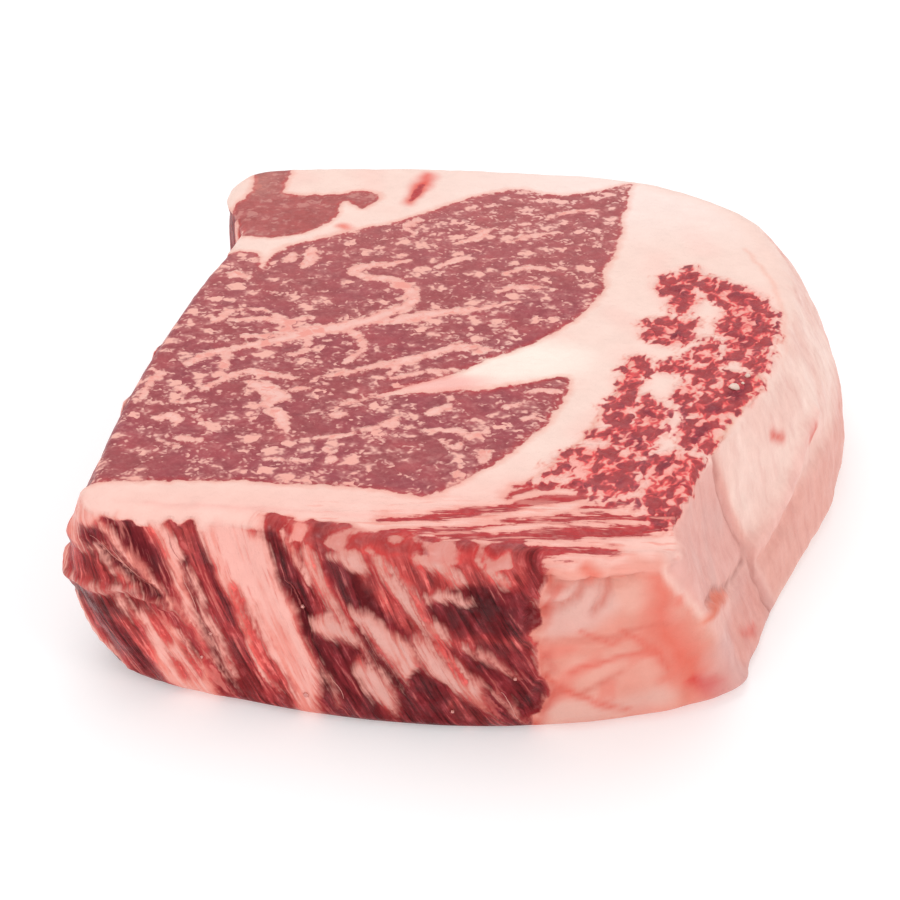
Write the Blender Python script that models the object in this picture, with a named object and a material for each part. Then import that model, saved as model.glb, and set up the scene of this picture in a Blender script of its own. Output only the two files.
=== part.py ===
"""A thick-cut raw beef steak: one solid piece that lies on its flat underside.

The body is a loft, because its two cut faces have unlike outlines: the underside spreads on the right, and the
wall swells between the faces. Rings of points run from the middle of the underside, out and up the wall, and
in to the middle of the upper face. Sizes are in millimetres until the mesh is made.
"""

import bmesh
import bpy
import numpy as np

MM = 0.001
THICKNESS = 40.0
UNDERSIDE_ROUND = 2.8
RIM_ROUND = 2.2
POINTS_AROUND = 132
WALL_RINGS = 9
ARC_STEPS = 3
FACE_MIDDLE = (4.0, 74.0)
UNDERSIDE_RINGS = (0.3, 0.68)
FACE_RINGS = (0.9, 0.76, 0.56, 0.32)

# The body's origin in the station table's own coordinates: the middle of its box, on the underside.
BOX_MIDDLE = (8.22, 77.45)

# The upper face dips over the eye of the meat, and its front right corner of soft fat sinks.
EYE_MIDDLE, EYE_REACH, EYE_DIP = (-22.0, 70.0), 38.0, 0.7
CORNER_MIDDLE, CORNER_REACH, CORNER_DIP = (42.0, -4.0), 16.0, 1.5

# Bundles of muscle stand out of the front wall. They lean to the right on their way down.
BUNDLE_WIDTH, BUNDLE_LEAN, BUNDLE_DEPTH = 13.0, 0.45, 0.55
BUNDLES_FROM, BUNDLES_TO, BUNDLES_FADE = -12.0, 92.0, 14.0

# Stations round the body, anticlockwise from the front left corner. x runs right and y back, from the front.
#   upper face x, y     underside x, y     swell of the wall between them
STATIONS = (
    (-62.5, 12.0, -60.0, 13.5, 3.0),
    (-38.0, 8.8, -36.0, 3.8, 2.0),
    (-12.0, 1.2, -10.0, -1.8, 1.0),
    (12.0, -3.2, 14.0, -2.6, 1.0),
    (31.0, -2.8, 37.5, 1.2, 0.5),
    (39.7, -1.0, 53.5, 8.2, -1.0),
    (41.3, 10.0, 58.4, 17.4, -1.5),
    (46.3, 25.5, 63.0, 29.0, -2.0),
    (57.0, 45.0, 72.2, 49.5, 1.0),
    (66.0, 66.0, 81.5, 70.5, 3.0),
    (71.0, 96.0, 87.0, 100.0, 4.0),
    (66.0, 124.0, 79.0, 131.0, 6.0),
    (46.0, 141.0, 53.0, 152.0, 6.0),
    (10.0, 148.0, 10.0, 158.0, 4.0),
    (-26.0, 149.5, -28.0, 157.0, 4.0),
    (-45.5, 147.0, -47.0, 150.0, 2.0),
    (-50.5, 136.0, -50.0, 137.0, 1.0),
    (-46.3, 117.0, -46.0, 117.0, 0.5),
    (-52.5, 95.0, -53.5, 95.0, 1.5),
    (-60.2, 60.0, -61.0, 60.0, 2.5),
    (-64.0, 31.0, -64.0, 33.0, 4.0),
    (-64.2, 18.0, -64.2, 21.0, 6.0),
)


def stations_around(count):
    """Rows like the table's, evenly spaced round the upper face on a closed smooth curve."""
    rows = np.array(STATIONS)
    following = np.roll(rows, -1, axis=0)
    spans = np.linalg.norm(following[:, :2] - rows[:, :2], axis=1) ** 0.5
    before = np.roll(spans, 1)
    arriving = (rows - np.roll(rows, 1, axis=0)) / before[:, None]
    leaving = (following - rows) / spans[:, None]
    slopes = (arriving * spans[:, None] + leaving * before[:, None]) / (spans + before)[:, None]

    def curve(where):
        """The curve at these places, counted in stations."""
        first = np.floor(where).astype(int) % len(rows)
        second = (first + 1) % len(rows)
        u = (where - np.floor(where))[:, None]
        span = spans[first][:, None]
        start = (2 * u**3 - 3 * u**2 + 1) * rows[first] + (u**3 - 2 * u**2 + u) * span * slopes[first]
        end = (3 * u**2 - 2 * u**3) * rows[second] + (u**3 - u**2) * span * slopes[second]
        return start + end

    fine = np.linspace(0, len(rows), 40 * len(rows) + 1)
    steps = np.linalg.norm(np.diff(curve(fine)[:, :2], axis=0), axis=1)
    lengths = np.concatenate([[0], np.cumsum(steps)])
    even = np.linspace(0, lengths[-1], count, endpoint=False)
    return curve(np.interp(even, lengths, fine)), even


def outward(points):
    """The level direction that points out of a closed ring, at each of its points."""
    along = np.roll(points, -1, axis=0) - np.roll(points, 1, axis=0)
    across = np.stack([along[:, 1], -along[:, 0]], axis=1)
    return across / np.linalg.norm(across, axis=1)[:, None]


def fade(value, start, end):
    """0 up to start, 1 from end on, smooth between."""
    share = np.clip((value - start) / (end - start), 0, 1)
    return share * share * (3 - 2 * share)


def bundles(distance, height):
    """How far the muscle bundles stand out of the wall."""
    here = fade(distance, BUNDLES_FROM, BUNDLES_FROM + BUNDLES_FADE)
    here = here * (1 - fade(distance, BUNDLES_TO - BUNDLES_FADE, BUNDLES_TO))
    level = np.sin(np.pi * np.clip(height / THICKNESS, 0, 1))
    phase = 2 * np.pi * (distance + BUNDLE_LEAN * (height - THICKNESS)) / BUNDLE_WIDTH
    return BUNDLE_DEPTH * here * level * np.sin(phase)


def ring(rows, distances, height, inset):
    """A level ring: between the two outlines, swollen, and pulled in by inset."""
    share = height / THICKNESS
    points = rows[:, 2:4] * (1 - share) + rows[:, 0:2] * share
    swell = rows[:, 4] * 4 * share * (1 - share) + bundles(distances, height)
    points = points + outward(points) * (swell - inset)[:, None]
    return np.column_stack([points, np.full(len(points), height)])


def towards_middle(edge, share):
    """A copy of a ring, shrunk to this share of its size about the middle of the face."""
    inner = edge.copy()
    inner[:, :2] = FACE_MIDDLE + (edge[:, :2] - FACE_MIDDLE) * share
    return inner


def dip(points, middle, reach, depth):
    """How far a round hollow lowers these points."""
    away = np.linalg.norm(points[:, :2] - middle, axis=1)
    return depth * np.exp(-((away / reach) ** 2))


def lower_face(points):
    """The upper face's hollows, which the rim and the top of the wall follow."""
    share = fade(points[:, 2], THICKNESS / 2, THICKNESS)
    fall = dip(points, EYE_MIDDLE, EYE_REACH, EYE_DIP) + dip(points, CORNER_MIDDLE, CORNER_REACH, CORNER_DIP)
    lowered = points.copy()
    lowered[:, 2] -= share * fall
    return lowered


def rings():
    """Every ring of the body, from the underside's middle to the upper face's middle."""
    rows, even = stations_around(POINTS_AROUND)
    distances = np.where(even > even[-1] * 0.9, even - even[-1], even)
    quarter = np.linspace(0, np.pi / 2, ARC_STEPS + 1)
    base = ring(rows, distances, 0.0, UNDERSIDE_ROUND)
    made = [towards_middle(base, share) for share in UNDERSIDE_RINGS]
    for turn in quarter[:-1]:
        height = UNDERSIDE_ROUND * (1 - np.cos(turn))
        made.append(ring(rows, distances, height, UNDERSIDE_ROUND * (1 - np.sin(turn))))
    for height in np.linspace(UNDERSIDE_ROUND, THICKNESS - RIM_ROUND, WALL_RINGS):
        made.append(ring(rows, distances, height, 0.0))
    for turn in quarter[1:]:
        height = THICKNESS - RIM_ROUND * (1 - np.sin(turn))
        made.append(ring(rows, distances, height, RIM_ROUND * (1 - np.cos(turn))))
    rim = made[-1]
    made += [towards_middle(rim, share) for share in FACE_RINGS]
    return [lower_face(points) for points in made]


def middle_point(height):
    return lower_face(np.array([[*FACE_MIDDLE, height]]))[0]


def loft(name):
    """One closed mesh through all the rings, with a fan of triangles at each end."""
    mesh_data = bmesh.new()

    def vertex(point):
        x, y, z = (float(value) for value in point)
        return mesh_data.verts.new(((x - BOX_MIDDLE[0]) * MM, (y - BOX_MIDDLE[1]) * MM, z * MM))

    columns = [[vertex(point) for point in points] for points in rings()]
    for lower, upper in zip(columns, columns[1:]):
        for i in range(POINTS_AROUND):
            j = (i + 1) % POINTS_AROUND
            mesh_data.faces.new((lower[i], lower[j], upper[j], upper[i]))
    underside_middle, face_middle = vertex(middle_point(0.0)), vertex(middle_point(THICKNESS))
    for i in range(POINTS_AROUND):
        j = (i + 1) % POINTS_AROUND
        mesh_data.faces.new((underside_middle, columns[0][j], columns[0][i]))
        mesh_data.faces.new((face_middle, columns[-1][i], columns[-1][j]))
    mesh = bpy.data.meshes.new(name)
    mesh_data.to_mesh(mesh)
    mesh_data.free()
    return mesh


def meat_material():
    material = bpy.data.materials.new("raw beef")
    material.use_nodes = True
    shader = material.node_tree.nodes["Principled BSDF"]
    shader.inputs["Base Color"].default_value = (0.40, 0.11, 0.10, 1.0)
    shader.inputs["Roughness"].default_value = 0.38
    shader.inputs["Metallic"].default_value = 0.0
    return material


def build():
    for thing in list(bpy.data.objects):
        bpy.data.objects.remove(thing)
    collection = bpy.data.collections.new("raw beef steak")
    bpy.context.scene.collection.children.link(collection)
    steak = bpy.data.objects.new("steak", loft("steak"))
    steak.data.materials.append(meat_material())
    steak.data.shade_smooth()
    collection.objects.link(steak)


build()
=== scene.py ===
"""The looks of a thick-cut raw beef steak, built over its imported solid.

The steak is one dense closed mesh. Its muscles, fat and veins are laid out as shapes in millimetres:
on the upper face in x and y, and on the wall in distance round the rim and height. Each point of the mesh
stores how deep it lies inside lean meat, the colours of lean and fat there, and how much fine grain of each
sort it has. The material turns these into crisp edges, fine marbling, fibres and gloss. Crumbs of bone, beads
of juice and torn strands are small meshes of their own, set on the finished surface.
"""

import bpy
import numpy as np
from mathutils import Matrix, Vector, noise


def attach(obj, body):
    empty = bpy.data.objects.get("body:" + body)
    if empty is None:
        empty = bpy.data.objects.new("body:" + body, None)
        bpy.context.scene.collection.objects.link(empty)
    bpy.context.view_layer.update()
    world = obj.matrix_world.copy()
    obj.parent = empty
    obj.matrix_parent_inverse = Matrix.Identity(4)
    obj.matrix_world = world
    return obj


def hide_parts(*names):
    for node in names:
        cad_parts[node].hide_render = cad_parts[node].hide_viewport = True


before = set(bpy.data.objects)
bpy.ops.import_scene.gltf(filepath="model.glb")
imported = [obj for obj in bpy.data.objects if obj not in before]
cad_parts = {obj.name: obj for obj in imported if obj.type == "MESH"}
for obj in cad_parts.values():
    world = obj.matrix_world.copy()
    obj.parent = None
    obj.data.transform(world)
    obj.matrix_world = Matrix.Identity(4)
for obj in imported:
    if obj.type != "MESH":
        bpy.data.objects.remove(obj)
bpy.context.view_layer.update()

# The body's form: the same sizes as the solid's. Millimetres.
MM = 0.001
THICKNESS = 40.0
UNDERSIDE_ROUND = 2.8
RIM_ROUND = 2.2
BOX_MIDDLE = (8.22, 77.45)
EYE_MIDDLE, EYE_REACH, EYE_DIP = (-22.0, 70.0), 38.0, 0.7
CORNER_MIDDLE, CORNER_REACH, CORNER_DIP = (42.0, -4.0), 16.0, 1.5
BUNDLE_WIDTH, BUNDLE_LEAN, BUNDLE_DEPTH = 13.0, 0.45, 0.55
BUNDLES_FROM, BUNDLES_TO, BUNDLES_FADE = -12.0, 92.0, 14.0

# Stations round the body, anticlockwise from the front left corner. x runs right and y back, from the front.
#   upper face x, y     underside x, y     swell of the wall between them
STATIONS = (
    (-62.5, 12.0, -60.0, 13.5, 3.0),
    (-38.0, 8.8, -36.0, 3.8, 2.0),
    (-12.0, 1.2, -10.0, -1.8, 1.0),
    (12.0, -3.2, 14.0, -2.6, 1.0),
    (31.0, -2.8, 37.5, 1.2, 0.5),
    (39.7, -1.0, 53.5, 8.2, -1.0),
    (41.3, 10.0, 58.4, 17.4, -1.5),
    (46.3, 25.5, 63.0, 29.0, -2.0),
    (57.0, 45.0, 72.2, 49.5, 1.0),
    (66.0, 66.0, 81.5, 70.5, 3.0),
    (71.0, 96.0, 87.0, 100.0, 4.0),
    (66.0, 124.0, 79.0, 131.0, 6.0),
    (46.0, 141.0, 53.0, 152.0, 6.0),
    (10.0, 148.0, 10.0, 158.0, 4.0),
    (-26.0, 149.5, -28.0, 157.0, 4.0),
    (-45.5, 147.0, -47.0, 150.0, 2.0),
    (-50.5, 136.0, -50.0, 137.0, 1.0),
    (-46.3, 117.0, -46.0, 117.0, 0.5),
    (-52.5, 95.0, -53.5, 95.0, 1.5),
    (-60.2, 60.0, -61.0, 60.0, 2.5),
    (-64.0, 31.0, -64.0, 33.0, 4.0),
    (-64.2, 18.0, -64.2, 21.0, 6.0),
)

# Cells of the upper face's grid, and the distances round the rim where its four corners are.
ACROSS, DEEP = 190, 232
FRONT_RIGHT, BACK_RIGHT, BACK_LEFT = 104.5, 250.0, 352.0
WALL_ROWS = 34
ARC_ROWS = 5
UNDERSIDE_INSET = 1.2

# The flat map. A face is shifted by its corner, divided by its span and put at its place. The wall's four
# sides are strips that share one span.
FACE_MAP = {"corner": (-70, -6), "span": 258, "place": (0.01, 0.38)}
UNDERSIDE_MAP = {"corner": (-72, -6), "span": 412, "place": (0.57, 0.56)}
STRIP_SPAN = 282
STRIP_PLACES = ((0.560, 0.010), (0.010, 0.010), (0.560, 0.190), (0.010, 0.190))

# ---- colours, as linear light --------------------------------------------------------------------------

EYE_LEAN = (0.345, 0.072, 0.080)
CAP_LEAN = (0.50, 0.072, 0.074)
FACE_FAT = (0.93, 0.68, 0.60)
VEIN_FAT = (0.90, 0.52, 0.46)
WALL_LEAN = (0.31, 0.025, 0.028)
DARK_LEAN = (0.165, 0.011, 0.015)
DEEP_LEAN = (0.095, 0.005, 0.008)
BRIGHT_LEAN = (0.46, 0.050, 0.048)
STRIPE_FAT = (0.90, 0.45, 0.39)
SIDE_FAT = (0.74, 0.290, 0.225)
MEMBRANE = (0.78, 0.40, 0.35)
CREAM = (0.93, 0.66, 0.58)
# Painted shade: the dark red laid along the folds in the side fat.
FOLD_SHADE_RED = (0.62, 0.14, 0.10)

# ---- the upper face: outlines and lines in x and y -----------------------------------------------------

EYE = (
    (-72, 19), (-60, 19.5), (-50, 19.8), (-40, 19.5), (-28, 18.3), (-20, 18), (-12, 16.5), (-5, 15),
    (-2, 15.2), (5, 22), (10, 27.5), (15, 34), (18, 38), (20, 43), (21.5, 48), (23.2, 54.6), (20, 55),
    (15, 53), (10, 51.8), (5, 51), (-5, 50.5), (-12, 50.3), (-10, 51.5), (-5, 54), (0, 57), (5, 60.5),
    (10, 64), (15, 67), (20, 71.5), (24, 76), (28, 82), (31, 88), (32.5, 94), (33.5, 100), (35.5, 106),
    (37.5, 114), (38.3, 122), (39.5, 128), (41, 137), (42, 140.6), (38, 139), (34, 136.5), (26, 134.5),
    (20, 135), (15.5, 138), (10, 136), (5, 133.5), (0, 130), (-5, 126), (-10, 122.5), (-15, 120), (-22, 117),
    (-28, 114), (-33, 111), (-37, 108), (-39, 105), (-39.8, 101), (-41.3, 105), (-43, 107), (-50, 106),
    (-64, 96), (-76, 60), (-76, 30),
)
WEDGE_SEAM = ((-12, 50.3), (-15, 48.5), (-20, 46.5), (-25, 44), (-28, 43))
BACK_LEFT_MUSCLE = (
    (-49, 127), (-46, 118), (-45, 114.5), (-38, 114), (-33, 116), (-28, 120), (-25.5, 124), (-25, 129),
    (-23, 132), (-21.5, 129), (-19.5, 127.5), (-17, 131), (-16, 135), (-20, 137), (-25, 135.5), (-30, 135),
    (-37, 135), (-38, 140), (-37, 148), (-45, 149), (-45, 138), (-47, 132),
)

# Each line is its widths, spread evenly along it, and its points.
VEINS = (
    ((2.4, 2.8, 2.6, 3.4, 4.2, 4.4, 3.2, 2.0), (
        (-17, 96), (-13, 95.5), (-10, 93), (-8, 90), (-7.5, 87), (-9.5, 84), (-13, 81), (-17, 78.5),
        (-20, 76.5),
        (-24, 75), (-29, 74), (-33, 71.5), (-38, 69), (-43, 67.5))),
    ((1.8, 3.0, 1.6), ((-16, 96), (-19, 97.5), (-21, 99), (-19, 101), (-14, 102), (-9, 104))),
    ((2.4, 2.0, 1.4), ((-22, 74.5), (-19, 73), (-17.5, 70), (-17.5, 67), (-19, 64.5), (-20.5, 62))),
    ((1.8, 1.4), ((-29, 73.5), (-28.7, 70), (-29, 66), (-31, 64.5), (-32, 65.5))),
    ((1.6, 2.4, 3.4, 2.4, 1.0), ((-19, 77), (-14, 78), (-9, 79), (-4, 80.5), (2, 82), (8, 83), (15, 86))),
    ((1.0, 1.8, 1.2), ((-49, 79), (-48, 77), (-46.5, 79), (-45, 81.5), (-41, 83), (-38, 82))),
    ((1.4, 2.0, 1.2), ((-43, 78.5), (-39, 79), (-35, 78), (-32.5, 76), (-34, 73.5), (-38, 72), (-42, 71.5))),
    ((2.2, 1.6), ((-36, 80), (-33, 78), (-29, 79))),
    ((2.0, 2.6, 1.4), ((-52, 61), (-49, 64), (-45, 66), (-44.5, 63), (-45, 59))),
    ((1.4, 2.4, 1.6), ((-48, 51), (-45, 54), (-42, 57), (-38, 58), (-34, 56.5), (-30, 56))),
    ((3.4, 5.0, 2.4), ((-38, 53), (-35, 51), (-33, 48), (-35, 45.5))),
    ((1.6, 3.4, 1.4), ((-34, 43.5), (-32, 42.5), (-31.5, 39), (-31, 36.5))),
    ((2.4, 1.6), ((-30, 51.5), (-27.5, 52))),
    ((1.2, 2.0, 1.2), ((-58, 59), (-56, 57), (-58, 55), (-59, 51), (-59, 47.5))),
    ((2.6, 2.0), ((-52, 51.5), (-51, 50.8))),
    ((1.3, 1.0), ((-52, 46.5), (-48, 47))),
    ((2.0, 3.0, 1.6), ((-55, 41), (-52, 42), (-51.5, 39))),
    ((1.2, 0.8), ((-47, 41.5), (-46, 38))),
    ((1.8, 1.2), ((-50.5, 34), (-46, 33))),
    ((1.2, 0.9), ((-54, 32.5), (-51, 31.5))),
    ((1.2, 2.2, 3.0, 2.4, 1.4), (
        (-24, 57), (-20, 57.5), (-16, 60), (-12, 61), (-9, 62), (-5, 64), (0, 66), (4, 66.5), (6, 65))),
    ((1.8, 1.4), ((-10, 62), (-11.5, 59), (-12, 56.5), (-9, 56.5), (-4, 58.5), (-1, 58))),
    ((2.0, 2.8, 1.2), ((-2, 65), (2, 67.5), (8, 66))),
    ((2.4, 1.8), ((-23, 42), (-20.5, 42.5))),
    ((1.4, 2.2, 1.6), ((-15, 37), (-12, 39), (-10, 41), (-11, 37))),
    ((1.0, 1.4), ((-25, 34), (-20, 35), (-16, 37))),
    ((1.4, 2.0, 1.2), ((-22, 28), (-22.5, 30), (-21.5, 26))),
    ((0.8, 1.0), ((-33, 27), (-26, 26.5))),
    ((2.8, 1.6), ((-3, 43), (0, 45))),
    ((1.2, 2.2, 1.2), ((-5, 37), (-1, 37), (2, 36), (5, 35), (7, 37))),
    ((1.6, 1.2), ((0, 47.5), (1, 47.2))),
    ((2.0, 1.2), ((11, 45), (13, 46))),
    ((2.0, 1.2), ((16, 41), (14, 40))),
    ((1.6, 2.4, 1.2), ((6, 25), (6, 28), (7.5, 29.5))),
    ((0.9, 1.3, 0.9), ((-2, 33), (1, 30), (3, 33))),
    ((0.9, 0.7), ((1.5, 24), (1, 20))),
    ((1.4, 0.9), ((20, 50), (18.5, 50.5), (15, 50))),
    ((3.0, 2.0), ((-45.5, 98), (-43, 96.5))),
    ((2.6, 3.4, 2.0), ((-31, 102), (-29.5, 105), (-30, 109))),
    ((2.0, 2.6), ((-35, 104), (-34, 106))),
    ((1.6, 2.2, 1.4), ((-2, 101), (1, 104), (4, 104.5))),
    ((1.6, 2.4, 1.4), ((3, 112), (6, 114), (8, 118))),
    ((1.4, 2.4), ((-8, 116), (-9, 119), (-7, 122))),
    ((1.4, 2.2, 1.2), ((12, 98), (17, 100), (22, 99))),
    ((1.2, 2.0, 1.2), ((14, 112), (18, 115), (24, 116))),
    ((1.2, 1.8, 1.0), ((22, 124), (27, 126), (32, 127))),
    ((1.4, 1.8, 1.0), ((10, 90), (15, 92), (21, 91))),
)

CAP = (
    ((44, 92), (46, 95.5), (49, 96), (51.5, 99), (52.5, 95), (51, 90), (50.5, 85), (48, 80), (46, 83),
     (47, 87),
     (45, 89)),
    ((54, 95), (60, 91.5), (63, 88), (65, 84), (65, 72), (62.5, 67.5), (60, 66), (57, 62.5), (55, 63.5),
     (56.5, 68), (54.5, 72), (55, 76), (57, 80), (56, 85), (53.5, 88)),
    ((40, 76.5), (44, 77.5), (49.5, 77), (48, 73), (47.5, 69), (45, 67.5), (42, 68.5), (39.5, 71), (41, 74)),
    ((47, 63), (50, 66), (52, 69), (53, 66), (51, 62), (48, 62)),
    ((40.5, 58.5), (43, 60), (46, 61), (50, 58), (49, 55), (46, 57), (42, 57)),
    ((58.5, 60.5), (62.5, 64.5), (62.5, 62), (60, 58.5)),
    ((52, 56), (57, 56), (60, 54), (58, 50), (56, 46), (53, 43), (50, 37), (49, 31), (44, 30), (43, 34),
     (44, 38),
     (47, 41), (45, 44), (48, 47), (51, 51), (53, 54)),
    ((36, 61.5), (38.5, 61), (37.5, 56), (36, 52), (34, 50), (33, 53), (35, 57)),
    ((33, 49), (30.5, 45), (29.5, 41), (31, 38), (33, 40), (34.5, 44), (35, 48)),
    ((38, 48), (40, 44), (40, 39.5), (37, 38), (35, 41), (36, 45)),
    ((26, 33.5), (28, 36), (31, 36.5), (34, 38), (38.5, 37), (38, 33), (36.5, 29.5), (33.5, 27.5), (32, 31),
     (29, 33)),
    ((22, 29), (26, 30), (30, 29.5), (33, 26), (32.5, 20), (31, 16), (28, 15), (27, 17.5), (25, 19),
     (20, 22.5),
     (17, 20.5), (19, 24)),
    ((35.5, 20), (36, 24), (38.5, 27), (42, 28.5), (45.5, 26.5), (45, 23), (43.5, 18), (41, 13), (38.5, 7),
     (36.5, 10), (35, 14)),
)
CAP_STRIPS = (
    ((2.6, 3.2, 2.4), ((52, 61), (49, 54), (46, 50), (44.5, 47))),
)
CAP_LINES = (
    ((1.2, 1.0), ((53, 42), (49, 39.5), (46, 38.5))),
    ((2.6, 2.0), ((22.5, 25.5), (24.5, 22.5))),
    ((1.6, 1.2), ((37, 19), (39.5, 22), (41, 25))),
    ((1.0, 1.4, 1.0), ((55.5, 88), (58, 84), (60, 78), (60, 71))),
    ((1.0, 0.8), ((50, 35), (47, 33))),
    ((0.9, 1.2), ((28, 31), (33, 30))),
)
FRONT_STREAKS = (
    ((1.4, 2.4, 2.6, 2.0, 1.2), (
        (-12, 8), (-5, 8), (0, 9), (5, 10), (10, 11), (16, 13.5), (22, 14), (26, 15))),
    ((1.0, 1.6, 1.2), ((10, 14.5), (15, 17), (20, 18), (24, 19.5))),
    ((1.2, 1.8, 1.6, 1.2), ((-10, 4), (0, 4.5), (8, 6), (15, 7), (20, 8), (30, 9), (37, 10))),
    ((1.6, 3.0, 3.0, 1.6), ((5, 2), (15, 3), (25, 4), (33, 5.5), (38, 7))),
    ((1.4, 2.0, 1.6), ((18, 7), (24, 8), (30, 8.5), (36, 9))),
    ((1.0, 1.4, 1.0), ((23, 11), (28, 12), (32, 14))),
    ((1.6, 2.0, 1.4), ((-2, 3), (6, 2.5), (12, 1))),
    ((1.0, 1.8, 1.2), ((12, 17.5), (17, 18.5), (21, 18), (25, 15.5))),
    ((1.0, 2.2, 1.8), ((-24, 4.4), (-16, 3.4), (-8, 2.4), (0, 0.8))),
    ((1.4, 2.6, 2.0), ((-2, -0.6), (8, -1.6), (18, -1.4), (28, -0.6))),
    ((1.6, 3.4, 3.8, 3.4, 2.0), ((-26, 1.6), (-12, -1.8), (4, -4.6), (20, -5.2), (36, -4.0))),
)

# ---- the wall: lines and outlines in distance round the rim and height ---------------------------------

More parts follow.
